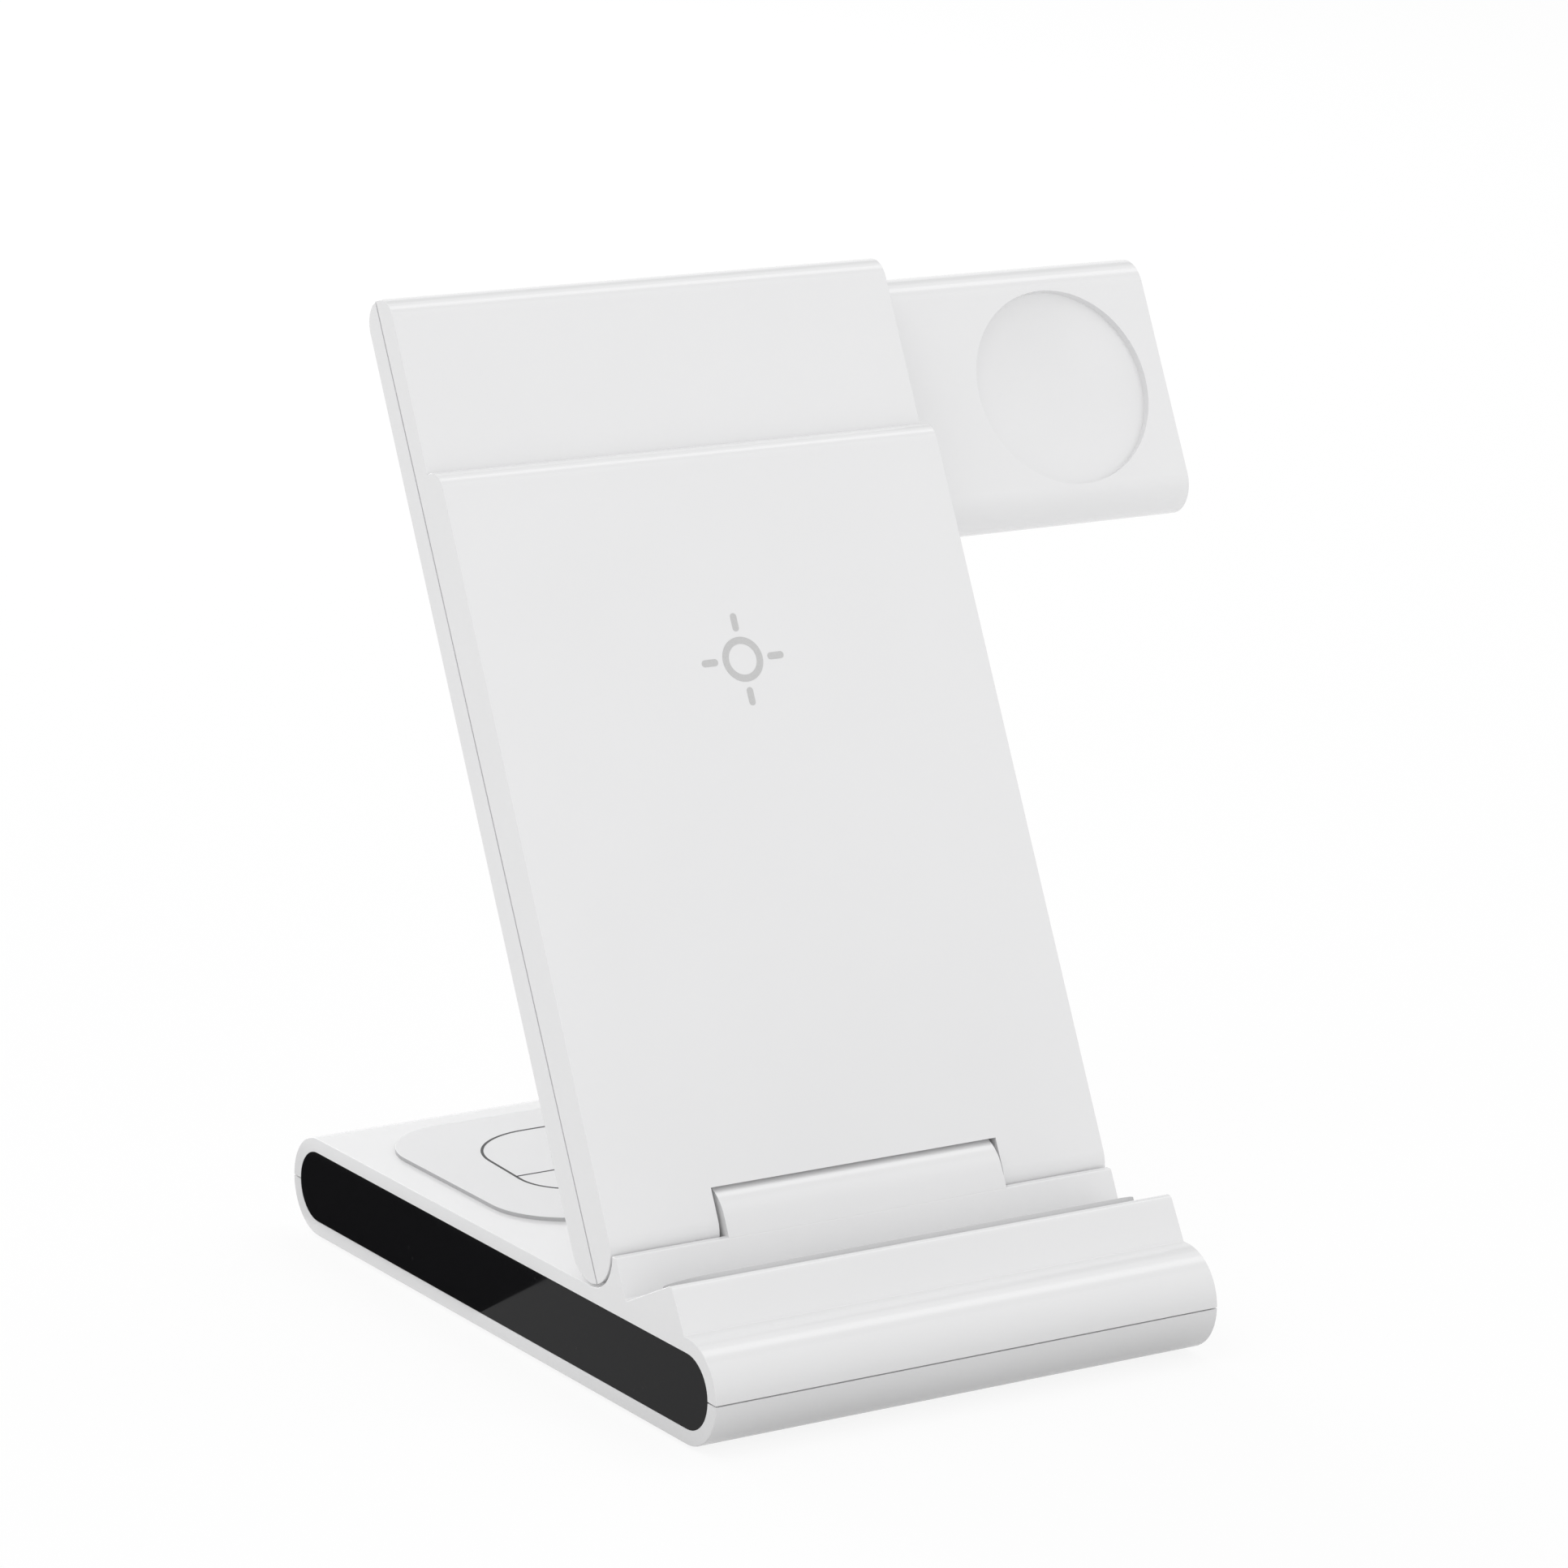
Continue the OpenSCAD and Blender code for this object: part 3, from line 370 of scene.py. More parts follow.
class Wire:
    """One output of a node, on which shader maths is written as arithmetic."""

    def __init__(self, shading, socket):
        self.shading = shading
        self.socket = socket

    def __add__(self, other):
        return self.shading.maths("ADD", self, other)

    def __sub__(self, other):
        return self.shading.maths("SUBTRACT", self, other)

    def __rsub__(self, other):
        return self.shading.maths("SUBTRACT", other, self)

    def __mul__(self, other):
        return self.shading.maths("MULTIPLY", self, other)

    __radd__ = __add__
    __rmul__ = __mul__


class Shading:
    """The nodes of a material or world."""

    def __init__(self, owner):
        owner.use_nodes = True
        self.tree = owner.node_tree
        self.tree.nodes.clear()

    def node(self, kind, settings, values, output=0):
        """Adds a node from its type, its settings, and the values or wires of its sockets."""
        node = self.tree.nodes.new(kind)
        for key, value in settings.items():
            if key == "stops":
                self.set_stops(node.color_ramp, value)
            else:
                setattr(node, key, value)
        for key, value in values.items():
            if isinstance(value, Wire):
                self.tree.links.new(value.socket, node.inputs[key])
            else:
                node.inputs[key].default_value = value
        return Wire(self, node.outputs[output]) if node.outputs else None

    def set_stops(self, ramp, stops):
        while len(ramp.elements) < len(stops):
            ramp.elements.new(1.0)
        for element, (position, tone) in zip(ramp.elements, stops):
            element.position = position
            element.color = (tone, tone, tone, 1.0)

    def maths(self, operation, *values):
        return self.node("ShaderNodeMath", {"operation": operation}, dict(enumerate(values)))

    def vectors(self, operation, first, second, output=0):
        return self.node("ShaderNodeVectorMath", {"operation": operation},
                         {0: first, 1: second}, output)

    def light(self, tone=1.0):
        return self.node("ShaderNodeEmission", {}, {"Color": WHITE, "Strength": tone})

    def matt(self, tone):
        return self.node("ShaderNodeBsdfDiffuse", {}, {"Color": tone})

    def by_ray(self, for_light, for_eye):
        """The second shader for the camera, reflections and clear bodies, else the first."""
        camera, gloss, clear = (
            self.node("ShaderNodeLightPath", {}, {}, ray)
            for ray in ("Is Camera Ray", "Is Glossy Ray", "Is Transmission Ray"))
        seen = self.maths("MAXIMUM", self.maths("MAXIMUM", camera, gloss), clear)
        return self.node("ShaderNodeMixShader", {}, {0: seen, 1: for_light, 2: for_eye})


class Finish(Shading):
    """A material with one Principled shader."""

    def __init__(self, name):
        self.material = bpy.data.materials.new(name)
        super().__init__(self.material)
        self.place = self.node("ShaderNodeTexCoord", {}, {}, "Object")

    def noise(self, scale, detail=3.0, rough=0.55, vector=None):
        return self.node("ShaderNodeTexNoise", {}, {"Vector": vector or self.place,
                                                    "Scale": scale, "Detail": detail,
                                                    "Roughness": rough})

    def cells(self, scale, feature="F1", spread=1.0):
        return self.node("ShaderNodeTexVoronoi", {"feature": feature},
                         {"Vector": self.place, "Scale": scale, "Randomness": spread})

    def placed(self, location=(0, 0, 0), rotation=(0, 0, 0), scale=(1, 1, 1)):
        return self.node("ShaderNodeMapping", {"vector_type": "TEXTURE"},
                         {"Vector": self.place, "Location": location, "Rotation": rotation,
                          "Scale": scale})

    def ramp(self, value, *stops):
        return self.node("ShaderNodeValToRGB", {"stops": stops}, {"Fac": value})

    def blend(self, factor, first, second):
        return self.node("ShaderNodeMix", {"data_type": "RGBA"},
                         {MIX_FACTOR: factor, MIX_FIRST: opaque(first),
                          MIX_SECOND: opaque(second)}, MIX_RESULT)

    def bump(self, height, distance, strength):
        return self.node("ShaderNodeBump", {},
                         {"Height": height, "Distance": distance, "Strength": strength})

    def close(self, **values):
        """Joins everything to the Principled shader and returns the material."""
        named = {key.replace("_", " "): value for key, value in values.items()}
        self.node("ShaderNodeOutputMaterial", {},
                  {"Surface": self.node("ShaderNodeBsdfPrincipled", {}, named)})
        return self.material


def opaque(tone):
    return tone if isinstance(tone, Wire) else (*tone, 1.0)


def shade(tone, by):
    return tuple(min(1.0, channel * by) for channel in tone)


# Finishes

# A seam's painted shade: its plane's normal and distance from the origin, the width of the painted band, and its
# tone
Seam = namedtuple("Seam", "normal distance width tone")


def moulded_plastic(name, tone, roughness, grain=1.0, seam=None):
    """Very fine texture of a spark-eroded mould, a little uneven, with painted shade in its seam groove."""
    f = Finish(name)
    cloud = f.noise(38.0)
    spark = f.noise(2600.0, 2.0, 0.6)
    fine = f.noise(7000.0, 1.0, 0.5)
    base = f.blend(f.ramp(cloud, (0.3, 0.0), (0.7, 1.0)), shade(tone, 0.994), shade(tone, 1.006))
    # Painted shade: the band along the seam's plane is darkened as if it lay in the groove's shadow.
    if seam:
        along = f.vectors("DOT_PRODUCT", f.place, seam.normal, "Value")
        off_plane = f.maths("ABSOLUTE", along - seam.distance)
        base = f.blend(f.maths("LESS_THAN", off_plane, seam.width / 2), base,
                       shade(tone, seam.tone))
    return f.close(
        Base_Color=base,
        Roughness=f.ramp(cloud * 0.6 + spark * 0.4,
                         (0.3, roughness - 0.03), (0.7, roughness + 0.03)),
        Normal=f.bump(spark * 0.7 + fine * 0.3, 0.000004 * grain, 0.5))


def capped_pad(name, top, side, level):
    """Soft pad with a pale printed top and a grey body that shows at its edge, darkened there further as painted
    shade.
    """
    f = Finish(name)
    spark = f.noise(2600.0, 2.0, 0.6)
    height = f.node("ShaderNodeSeparateXYZ", {}, {0: f.place}, "Z")
    return f.close(
        # Below the print's level the grey edge is partly the pad's body and partly painted shade.
        Base_Color=f.blend(f.maths("GREATER_THAN", height, level),
                           f.blend(spark, shade(side, 0.96), shade(side, 1.04)),
                           f.blend(spark, shade(top, 0.988), shade(top, 1.012))),
        Roughness=f.ramp(spark, (0.3, 0.5), (0.7, 0.58)),
        Normal=f.bump(spark, 0.00002, 0.6))


def gloss_black(name, tone):
    """Polished black with faint wipe marks and a few specks of dust."""
    f = Finish(name)
    wipes = f.noise(60.0, 4.0, 0.6, f.placed(scale=(1.0, 3.0, 0.6)))
    specks = f.ramp(f.noise(900.0, 1.0), (0.76, 0.0), (0.8, 1.0))
    return f.close(
        Base_Color=f.blend(specks * 0.25, tone, (0.06, 0.06, 0.06)),
        Roughness=f.ramp(wipes, (0.35, 0.035), (0.75, 0.09)),
        Normal=f.bump(f.noise(90.0, 2.0), 0.000008, 0.25),
        IOR=1.16)


def soft_rubber(name, tone, roughness):
    """Silicone with a fine stipple."""
    f = Finish(name)
    cloud = f.noise(120.0)
    return f.close(
        Base_Color=f.blend(cloud, shade(tone, 0.95), shade(tone, 1.05)),
        Roughness=f.ramp(cloud, (0.3, roughness - 0.06), (0.7, roughness + 0.06)),
        Normal=f.bump(f.cells(1600.0), 0.00003, 0.5))


def ink(name, tone):
    """Printed ink, slightly glossier than the plastic under it."""
    f = Finish(name)
    edge = f.noise(3500.0, 2.0)
    return f.close(
        Base_Color=f.blend(edge, shade(tone, 0.92), shade(tone, 1.08)),
        Roughness=f.ramp(edge, (0.3, 0.38), (0.7, 0.5)),
        Normal=f.bump(edge, 0.000006, 0.5))


def metal(name, tone, roughness, stretch=(1.0, 1.0, 1.0), scale=900.0):
    """Metal with fine lines along one direction."""
    f = Finish(name)
    lines = f.noise(scale, 4.0, 0.65, f.placed(scale=stretch))
    cloud = f.noise(90.0)
    return f.close(
        Base_Color=f.blend(lines * 0.6 + cloud * 0.4, shade(tone, 0.9), shade(tone, 1.1)),
        Roughness=f.ramp(lines * 0.7 + cloud * 0.3,
                         (0.3, roughness - 0.08), (0.7, roughness + 0.1)),
        Metallic=1.0, Normal=f.bump(lines, 0.000008, 0.5))


def wound_copper(name, centre, lean=0.0, pitch=0.55 * MM):
    """Enamelled wire wound flat about the coil's own axis, with painted shade in the troughs between the turns."""
    f = Finish(name)
    flat = f.placed(location=centre, rotation=(lean, 0.0, 0.0))
    squashed = f.vectors("MULTIPLY", flat, (1.0, 1.0, 0.0))
    reach = f.node("ShaderNodeVectorMath", {"operation": "LENGTH"}, {0: squashed}, "Value")
    crown = f.maths("SINE", reach * (2.0 * math.pi / pitch)) * 0.5 + 0.5
    return f.close(
        # Painted shade: the colour darkens in the troughs between turns, alongside the bump.
        Base_Color=f.blend(f.ramp(crown, (0.05, 0.0), (0.6, 1.0)),
                           (0.12, 0.035, 0.012), (0.72, 0.3, 0.13)),
        Roughness=f.ramp(f.noise(700.0, 2.0), (0.3, 0.22), (0.7, 0.36)),
        Metallic=0.9, Normal=f.bump(crown, 0.00012, 0.7))


def pressed_ferrite(name):
    """Dull dark sheet with a pressed grain and hairline cracks."""
    f = Finish(name)
    cracks = f.ramp(f.cells(150.0, "DISTANCE_TO_EDGE"), (0.0, 0.0), (0.03, 1.0))
    grain = f.noise(2500.0)
    return f.close(
        Base_Color=f.blend(cracks * 0.7 + grain * 0.3,
                           (0.012, 0.012, 0.013), (0.06, 0.06, 0.064)),
        Roughness=f.ramp(grain, (0.3, 0.55), (0.7, 0.75)),
        Normal=f.bump(cracks * 0.6 + grain * 0.4, 0.00003, 0.6))


def circuit_board(name):
    """Green lacquer over copper tracks, with tinned pads."""
    f = Finish(name)
    tracks = f.node("ShaderNodeTexBrick", {"offset": 0.37, "squash": 0.6},
                    {"Vector": f.placed(rotation=(0.35, 0.0, 0.0)), "Scale": 260.0,
                     "Color1": WHITE, "Color2": WHITE, "Mortar": (0.0, 0.0, 0.0, 1.0),
                     "Mortar Size": 0.035, "Mortar Smooth": 0.2,
                     "Brick Width": 1.7, "Row Height": 0.42})
    pads = f.ramp(f.cells(330.0, spread=0.55), (0.16, 1.0), (0.19, 0.0))
    green = f.blend(tracks, (0.05, 0.22, 0.08), (0.012, 0.1, 0.035))
    return f.close(
        Base_Color=f.blend(pads, green, (0.62, 0.6, 0.55)),
        Metallic=f.ramp(pads, (0.4, 0.0), (0.6, 0.9)),
        Roughness=f.ramp(f.noise(2200.0, 2.0), (0.3, 0.28), (0.7, 0.42)),
        Normal=f.bump(f.ramp(tracks, (0.0, 1.0), (1.0, 0.0)), 0.00003, 0.5))


def contact_board(name, centre, up):
    """Dark lacquer with two gilt tracks, on which the runner's pins slide."""
    f = Finish(name)
    weave = f.noise(2200.0, 2.0)
    height = f.vectors("DOT_PRODUCT", f.place, up, "Value")
    off_middle = f.maths("ABSOLUTE", height - up.dot(centre))
    off_track = f.maths("ABSOLUTE", off_middle - CONTACT_TRACK)
    track = f.maths("LESS_THAN", off_track, CONTACT_TRACK_WIDTH / 2)
    lacquer = f.blend(weave, (0.008, 0.009, 0.01), (0.014, 0.015, 0.017))
    return f.close(
        Base_Color=f.blend(track, lacquer, (0.83, 0.6, 0.24)), Metallic=track,
        Roughness=f.ramp(weave, (0.3, 0.28), (0.7, 0.42)),
        Normal=f.bump(track, 0.00003, 0.5))


def shell_finishes(sizes, tones):
    """Plastics of the shells, with painted shade in the seams of the base and the panel."""
    # Each seam gets a band of painted shade, not a darker material.
    base_seam = Seam(UP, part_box("base_bottom_shell")[0].z + sizes.base_seam,
                     BASE_SEAM_SHADE_FILL * sizes.base_seam_width, tones.base_seam)
    panel_seam_shade = Seam(*panel_seam(sizes), PANEL_SEAM_SHADE_FILL * sizes.panel_seam_width,
                      tones.panel_seam)
    return {
        "pale_plastic": moulded_plastic("Charger pale plastic", tones.shell, 0.16),
        "lower_plastic": moulded_plastic("Charger lower plastic", tones.lower, 0.22),
        "dish_plastic": moulded_plastic("Charger dish plastic", tones.shell, 0.34, 0.6),
        "runner_plastic": moulded_plastic("Charger runner plastic", shade(tones.lower, 0.9), 0.45),
        "pale base": moulded_plastic("Charger base plastic", tones.shell, 0.16, seam=base_seam),
        "lower base": moulded_plastic("Charger lower base plastic", tones.lower, 0.22,
                                      seam=base_seam),
        "pale panel": moulded_plastic("Charger panel plastic", tones.shell, 0.16,
                                      seam=panel_seam_shade),
        "rear panel": moulded_plastic("Charger rear panel plastic", tones.rear, 0.22,
                                      seam=panel_seam_shade),
    }


def trim_finishes(tones):
    """Pad, inlays, soft pieces and prints."""
    pad_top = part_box("earbud_pad")[1].z
    return {
        # The pad's edge grey is darkened by 0.88 as painted shade along its wall.
        "pad_plastic": capped_pad("Charger pad plastic", tones.pad, shade(tones.grip, 0.88),
                                  pad_top - PAD_PRINT),
        "black_gloss": gloss_black("Charger gloss black", tones.inlay),
        "grey_grip": soft_rubber("Charger grip", tones.grip, 0.62),
        "grey_rubber": soft_rubber("Charger mat", tones.mat, 0.78),
        "lead_jacket": soft_rubber("Charger lead jacket", (0.02, 0.02, 0.022), 0.55),
        "mark": ink("Charger mark ink", tones.mark),
        "line": ink("Charger line ink", tones.line),
    }


def inner_finishes(sizes):
    """Metals, coils, ferrite and boards."""
    panel = panel_matrix(sizes)
    across = math.pi / 2 - sizes.lean
    strip = middle(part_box("contact_strip"))
    return {
        "steel": metal("Charger steel", (0.56, 0.56, 0.57), 0.34, (1.0, 12.0, 1.0)),
        "socket_steel": metal("Charger socket steel", (0.62, 0.62, 0.63), 0.3, (1.0, 9.0, 1.0),
                              1500.0),
        "track_aluminium": metal("Charger track aluminium", (0.72, 0.72, 0.74), 0.4,
                                 (14.0, 1.0, 1.0)),
        "bronze": metal("Charger bronze", (0.55, 0.36, 0.16), 0.38, scale=1800.0),
        "magnet": metal("Charger nickel", (0.66, 0.64, 0.6), 0.22, scale=1500.0),
        "gold_plate": metal("Charger gold plate", (0.83, 0.6, 0.24), 0.2, scale=2500.0),
        "copper": wound_copper("Charger coil copper", EARBUD_COIL),
        "phone copper": wound_copper("Charger phone coil copper", panel @ PHONE_COIL, across),
        "watch copper": wound_copper("Charger watch coil copper", panel @ WATCH_COIL, across,
                                     0.4 * MM),
        "ferrite": pressed_ferrite("Charger ferrite"),
        "board": circuit_board("Charger board"),
        "contact board": contact_board("Charger contact board", strip, panel.to_3x3() @ UP),
    }


def finishes(scene):
    """Every finish, by the record's slot or by its own name. They are made only once."""
    if "charger_finishes" in scene:
        names = json.loads(scene["charger_finishes"])
        return {slot: bpy.data.materials[name] for slot, name in names.items()}
    sizes, tones = scene.charger_sizes, scene.charger_colours
    made = {**shell_finishes(sizes, tones), **trim_finishes(tones), **inner_finishes(sizes)}
    scene["charger_finishes"] = json.dumps({slot: m.name for slot, m in made.items()})
    return made


# Operators

class CHARGER_OT_finishes(bpy.types.Operator):
    """Gives every CAD piece the finish of its material slot"""
    bl_idname = "charger.finishes"
    bl_label = "Finishes"

    def execute(self, context):
        made = finishes(context.scene)
        for part in frame["record"]["subparts"]:
            node = part["node"]
            finish = made[OWN_FINISH.get(node, part["material_slot"])]
            slots = NODES[node].material_slots
            if not slots:
                NODES[node].data.materials.append(finish)
            for slot in slots:
                slot.material = finish
        return {"FINISHED"}


class CHARGER_OT_base_shells(bpy.types.Operator):
    """Small radii and smooth curves on the base's two shells and its side inlays"""
    bl_idname = "charger.base_shells"
    bl_label = "Base shells"

    def execute(self, context):
        sizes, made = settings(context)
        low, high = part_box("base_bottom_shell")
        seam = low.z + sizes.base_seam
        ends = ends_at(low.x, high.x)

        def nearest_inside(place):
            round_end = sizes.base_seam
            return Vector((0.0, max(low.y + round_end, min(high.y - round_end, place.y)), seam))

        def rim(edge):
            off_seam = any(abs(vert.co.z - seam) > CLEAR_OF_SEAM * sizes.base_seam_width
                           for vert in edge.verts)
            return ends(edge) and off_seam and outward(edge, nearest_inside)

        fine_copy("base_top_shell", "base_top", "base", made["pale base"],
                  rim, sizes.edge)
        fine_copy("base_bottom_shell", "base_bottom", "base",
                  made["lower base"], rim, sizes.edge)
        for side, x in (("left", low.x), ("right", high.x)):
            fine_copy("side_inlay_" + side, "inlay_" + side, "base",
                      made["black_gloss"], ends_at(x), sizes.fine_edge)
        return {"FINISHED"}


class CHARGER_OT_ledge_and_pad(bpy.types.Operator):
    """Fine edges on the earbud pad, the ledge's grip strip and the mat"""
    bl_idname = "charger.ledge_and_pad"
    bl_label = "Ledge strip, pad and mat"

    def execute(self, context):
        sizes, made = settings(context)
        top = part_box("earbud_pad")[1].z

        def upper(edge):
            return all(abs(vert.co.z - top) < TOUCH for vert in edge.verts)

        fine_copy("earbud_pad", "pad_soft", "base", made["pad_plastic"],
                  upper, sizes.fine_edge)
        fine_copy("ledge_strip", "strip_soft", "base", made["grey_grip"],
                  every_edge, sizes.fine_edge)
        fine_copy("underside_mat", "mat_soft", "base", made["grey_rubber"],
                  every_edge, sizes.fine_edge)
        return {"FINISHED"}


class CHARGER_OT_panel_shells(bpy.types.Operator):
    """Small radii and smooth curves on the panel's two shells"""
    bl_idname = "charger.panel_shells"
    bl_label = "Panel shells"

    def execute(self, context):
        sizes, made = settings(context)
        low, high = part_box("panel_front_shell")
        ends = ends_at(low.x, high.x)
        normal, distance = panel_seam(sizes)

        def rim(edge):
            return ends(edge) and any(
                abs(normal.dot(vert.co) - distance) > CLEAR_OF_SEAM * sizes.panel_seam_width
                for vert in edge.verts)

        fine_copy("panel_front_shell", "panel_front", "panel",
                  made["pale panel"], rim, sizes.edge)
        fine_copy("panel_back_shell", "panel_back", "panel",
                  made["rear panel"], rim, sizes.edge)
        return {"FINISHED"}


class CHARGER_OT_arm_shells(bpy.types.Operator):
    """Small radii and smooth curves on the watch arm, its cover and its dish"""
    bl_idname = "charger.arm_shells"
    bl_label = "Watch arm"

    def execute(self, context):
        sizes, made = settings(context)
        low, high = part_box("arm_shell")
        fine_copy("arm_shell", "arm_body", "arm", made["pale_plastic"],
                  ends_at(low.x, high.x), sizes.edge)
        fine_copy("arm_back_cover", "arm_cover", "arm", made["lower_plastic"])
        dish = fine_copy("watch_dish", "arm_dish", "arm", made["dish_plastic"],
                         smooth=SMOOTH_DISH)
        self.widen(dish, sizes)
        return {"FINISHED"}

    def widen(self, dish, sizes):
        """Moves both edges of the narrow flat ring round the hollow into the arm's wall."""
        panel = panel_matrix(sizes)
        into_panel = panel.inverted()
        places = [into_panel @ vert.co for vert in dish.data.vertices]
        centre = into_panel @ middle(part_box("watch_dish"))
        front = min(place.y for place in places)
        for vert, place in zip(dish.data.vertices, places):
            if place.y - front < TOUCH:
                off = Vector((place.x - centre.x, 0.0, place.z - centre.z))
                reach = sizes.hollow + sizes.hollow_widening
                if abs(off.length - sizes.hollow) > TOUCH:
                    reach += RING_LEFT
                vert.co += panel.to_3x3() @ (off.normalized() * (reach - off.length))


class CHARGER_OT_case_outline(bpy.types.Operator):
    """Thin printed outline of an earbud case on the pad, with the line of its lid"""
    bl_idname = "charger.case_outline"
    bl_label = "Case outline"

    def execute(self, context):
        sizes, made = settings(context)
        outline = self.case_line(sizes)
        lid = self.lid_line(sizes)
        pick(outline)
        lid.select_set(True)
        bpy.ops.object.join()
        raise_print(outline, sizes.print_height)
        low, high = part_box("earbud_pad")
        pad = middle((low, high))
        place = Matrix.Translation((pad.x, pad.y + sizes.case_place, high.z))
        settle(outline, place, "case_outline", "base", made["line"])
        return {"FINISHED"}

    def case_line(self, sizes):
        """A flat loop that is narrower at its back, with round corners."""
        outline = new_plane()
        outline.scale = (sizes.case_front, sizes.case_depth, 1.0)
        bpy.ops.object.transform_apply(scale=True)
        bpy.ops.object.mode_set(mode="EDIT")
        narrowing = sizes.case_back / sizes.case_front
        for side, narrower, corner in ((1, narrowing, sizes.case_corner_back),
                                       (-1, 1.0, sizes.case_corner_front)):
            bpy.ops.mesh.select_all(action="DESELECT")
            mesh = bmesh.from_edit_mesh(outline.data)
            for vert in mesh.verts:
                if abs(vert.co.y - side * sizes.case_depth / 2) < TOUCH:
                    vert.select = True
                    vert.co.x *= narrower
            bmesh.update_edit_mesh(outline.data)
            bpy.ops.mesh.bevel(offset=corner, segments=CASE_CORNER_STEPS, affect="VERTICES")
        bpy.ops.mesh.select_all(action="SELECT")
        bpy.ops.mesh.inset(thickness=sizes.case_line, depth=0.0)
        bpy.ops.mesh.delete(type="FACE")
        bpy.ops.object.mode_set(mode="OBJECT")
        return outline

    def lid_line(self, sizes):
        """A thin bar from one side of the outline to the other."""
        along = 0.5 - sizes.case_lid / sizes.case_depth
        width = sizes.case_front + (sizes.case_back - sizes.case_front) * along
        lid = new_plane(location=(0.0, -sizes.case_lid, 0.0))
        lid.scale = (width - sizes.case_line, sizes.case_line * LID_LINE, 1.0)
        bpy.ops.object.transform_apply(location=True, scale=True)
        return lid


class CHARGER_OT_coil_mark(bpy.types.Operator):
    """Plain ring and four ticks that mark the middle of the phone coil"""
    bl_idname = "charger.coil_mark"
    bl_label = "Coil mark"

    def execute(self, context):
        sizes, made = settings(context)
        mark = self.ring(sizes)
        for quarter in range(4):
            tick = self.tick(sizes, quarter * math.pi / 2)
            pick(mark)
            tick.select_set(True)
            bpy.ops.object.join()
        raise_print(mark, sizes.print_height)
        place = Matrix.Translation((sizes.mark_aside, -PANEL_ROUND, sizes.mark_height))
        facing = place @ Matrix.Rotation(math.pi / 2, 4, "X")
        settle(mark, panel_matrix(sizes) @ facing, "coil_mark", "panel",
               made["mark"])
        return {"FINISHED"}

    def ring(self, sizes):
        deselect()
        bpy.ops.mesh.primitive_circle_add(vertices=RING_STEPS, radius=sizes.mark_ring,
                                          fill_type="NGON")
        bpy.ops.object.mode_set(mode="EDIT")
        bpy.ops.mesh.select_all(action="SELECT")
        bpy.ops.mesh.inset(thickness=sizes.mark_line, depth=0.0)
        bpy.ops.mesh.delete(type="FACE")
        bpy.ops.object.mode_set(mode="OBJECT")
        return bpy.context.object

    def tick(self, sizes, turn):
        """A short bar with round ends that points away from the ring."""
        start = sizes.mark_ring + sizes.mark_line * TICK_GAP
        out = Vector(((start + sizes.mark_reach) / 2, 0.0, 0.0))
        tick = new_plane()
        tick.scale = (sizes.mark_reach - start, sizes.mark_line, 1.0)
        tick.location = Matrix.Rotation(turn, 3, "Z") @ out
        tick.rotation_euler.z = turn
        bpy.ops.object.transform_apply(location=True, rotation=True, scale=True)
        bpy.ops.object.mode_set(mode="EDIT")
        bpy.ops.mesh.select_all(action="SELECT")
        bpy.ops.mesh.bevel(offset=sizes.mark_line * TICK_ROUNDING, segments=TICK_STEPS,
                           affect="VERTICES")
        bpy.ops.object.mode_set(mode="OBJECT")
        return tick


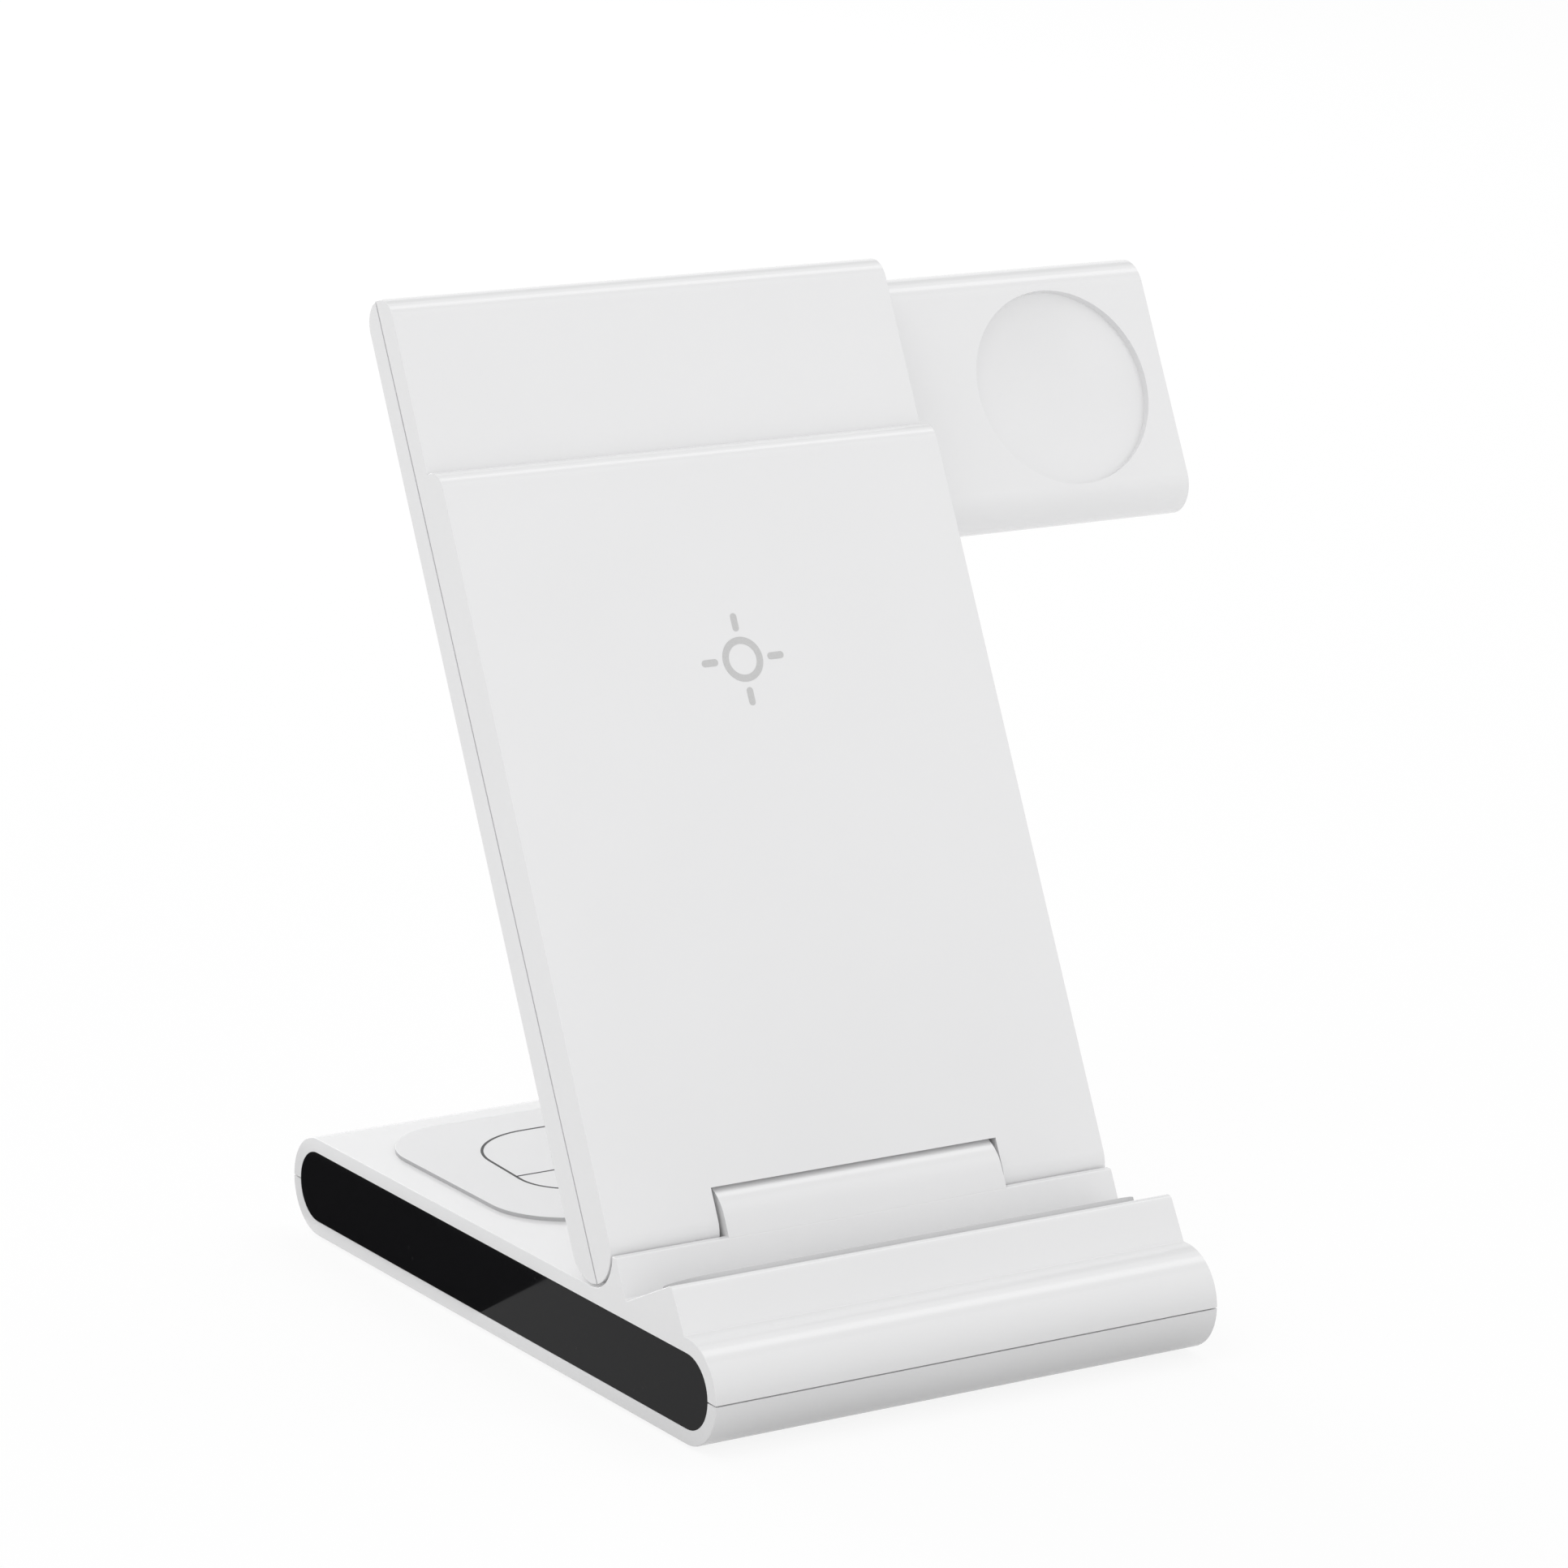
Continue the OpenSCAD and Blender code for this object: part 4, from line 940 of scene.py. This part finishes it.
class CHARGER_OT_stage(bpy.types.Operator):
    """Pale floor, soft lamps and the camera"""
    bl_idname = "charger.stage"
    bl_label = "Stage"

    def execute(self, context):
        scene = context.scene
        stage = scene.charger_stage
        self.add_floor(stage)
        scene.world = self.surround(stage)
        for name, tone, height, corners in CARDS:
            self.add_card(name, tone, height, corners)
        for name, setting, place, size, aimed in LAMPS:
            self.add_lamp(name, getattr(stage, setting), place, size, aimed)
        scene.camera = self.add_camera(stage)
        scene.view_settings.view_transform = "Standard"
        return {"FINISHED"}

    def add_floor(self, stage):
        """Grey for the light that it gives back, darker before the nose as painted shade, and for the eye nearly
        white, with a shadow.
        """
        floor = new_plane(FLOOR_SIZE, (0.0, 0.0, -FLOOR_DROP))
        floor.name = "floor"
        paper = bpy.data.materials.new("Stage paper")
        floor.data.materials.append(paper)
        f = Shading(paper)
        place = f.node("ShaderNodeNewGeometry", {}, {})
        # Painted shade: the floor's bounce grey drops towards the place before the nose.
        away = f.vectors("DISTANCE", place, BEFORE_NOSE, "Value")
        near, far = NOSE_SHADE
        grey = f.node("ShaderNodeMapRange", {}, {"Value": away, "From Min": near, "From Max": far,
                                                 "To Min": stage.bounce_front_shade,
                                                 "To Max": stage.bounce})
        veiled = f.node("ShaderNodeMixShader", {}, {0: stage.veil, 1: f.matt(PAPER), 2: f.light()})
        f.node("ShaderNodeOutputMaterial", {}, {"Surface": f.by_ray(f.matt(grey), veiled)})

    def surround(self, stage):
        """Soft light from all round, seen as plain white."""
        world = bpy.data.worlds.new("Stage world")
        f = Shading(world)
        soft, white = (f.node("ShaderNodeBackground", {}, {"Color": WHITE, "Strength": strength})
                       for strength in (stage.ambient, 1.0))
        f.node("ShaderNodeOutputWorld", {}, {"Surface": f.by_ray(soft, white)})
        return world

    def add_card(self, name, tone, height, corners):
        card = new_plane(location=(0.0, 0.0, height))
        card.name = name
        for vert, corner in zip(card.data.vertices, corners):
            vert.co.x, vert.co.y = corner
        card.data.materials.append(bpy.data.materials.new("Stage " + name))
        f = Shading(card.data.materials[0])
        f.node("ShaderNodeOutputMaterial", {}, {"Surface": f.light(tone)})
        card.visible_camera = card.visible_diffuse = False
        card.visible_transmission = card.visible_shadow = False

    def add_lamp(self, name, energy, place, size, aimed):
        deselect()
        bpy.ops.object.light_add(type="AREA", location=place)
        lamp = bpy.context.object
        lamp.name = name
        lamp.data.shape = "RECTANGLE"
        lamp.data.size, lamp.data.size_y = size
        lamp.data.energy = energy
        if aimed:
            lamp.rotation_euler = (LAMP_AIM - Vector(place)).to_track_quat("-Z", "Y").to_euler()
        lamp.visible_camera = False

    def add_camera(self, stage):
        az, pitch, roll = stage.azimuth, stage.pitch, stage.roll
        ahead = Vector((math.sin(az) * math.cos(pitch), math.cos(az) * math.cos(pitch),
                        -math.sin(pitch)))
        level = Vector((math.cos(az), -math.sin(az), 0.0))
        below = ahead.cross(level)
        right = level * math.cos(roll) + below * math.sin(roll)
        down = below * math.cos(roll) - level * math.sin(roll)
        turn = Matrix((right, -down, -ahead)).transposed().to_4x4()
        deselect()
        bpy.ops.object.camera_add()
        camera = bpy.context.object
        camera.name = "camera"
        camera.matrix_world = Matrix.Translation(stage.eye) @ turn
        camera.data.lens = stage.lens
        camera.data.sensor_width = SENSOR_WIDTH
        camera.data.clip_start, camera.data.clip_end = CAMERA_RANGE
        return camera


STEPS = (CHARGER_OT_finishes, CHARGER_OT_base_shells, CHARGER_OT_ledge_and_pad,
         CHARGER_OT_panel_shells, CHARGER_OT_arm_shells, CHARGER_OT_case_outline,
         CHARGER_OT_coil_mark, CHARGER_OT_stage)


class CHARGER_PT_sidebar(bpy.types.Panel):
    """Lists the steps that dress the charger, and their settings"""
    bl_idname = "CHARGER_PT_sidebar"
    bl_label = "Charger"
    bl_space_type = "VIEW_3D"
    bl_region_type = "UI"
    bl_category = "Charger"

    def draw(self, context):
        for step in STEPS:
            self.layout.operator(step.bl_idname)
        scene = context.scene
        for group in (scene.charger_sizes, scene.charger_colours, scene.charger_stage):
            box = self.layout.box()
            for name in group.__annotations__:
                box.prop(group, name)


CLASSES = (ChargerSizes, ChargerColours, ChargerStage, *STEPS, CHARGER_PT_sidebar)


def register():
    for cls in CLASSES:
        bpy.utils.register_class(cls)
    bpy.types.Scene.charger_sizes = PointerProperty(type=ChargerSizes)
    bpy.types.Scene.charger_colours = PointerProperty(type=ChargerColours)
    bpy.types.Scene.charger_stage = PointerProperty(type=ChargerStage)


def unregister():
    del bpy.types.Scene.charger_stage
    del bpy.types.Scene.charger_colours
    del bpy.types.Scene.charger_sizes
    for cls in reversed(CLASSES):
        bpy.utils.unregister_class(cls)


def main():
    register()
    bpy.ops.charger.finishes()
    bpy.ops.charger.base_shells()
    bpy.ops.charger.ledge_and_pad()
    bpy.ops.charger.panel_shells()
    bpy.ops.charger.arm_shells()
    bpy.ops.charger.case_outline()
    bpy.ops.charger.coil_mark()
    bpy.ops.charger.stage()


if __name__ == "__main__":
    main()
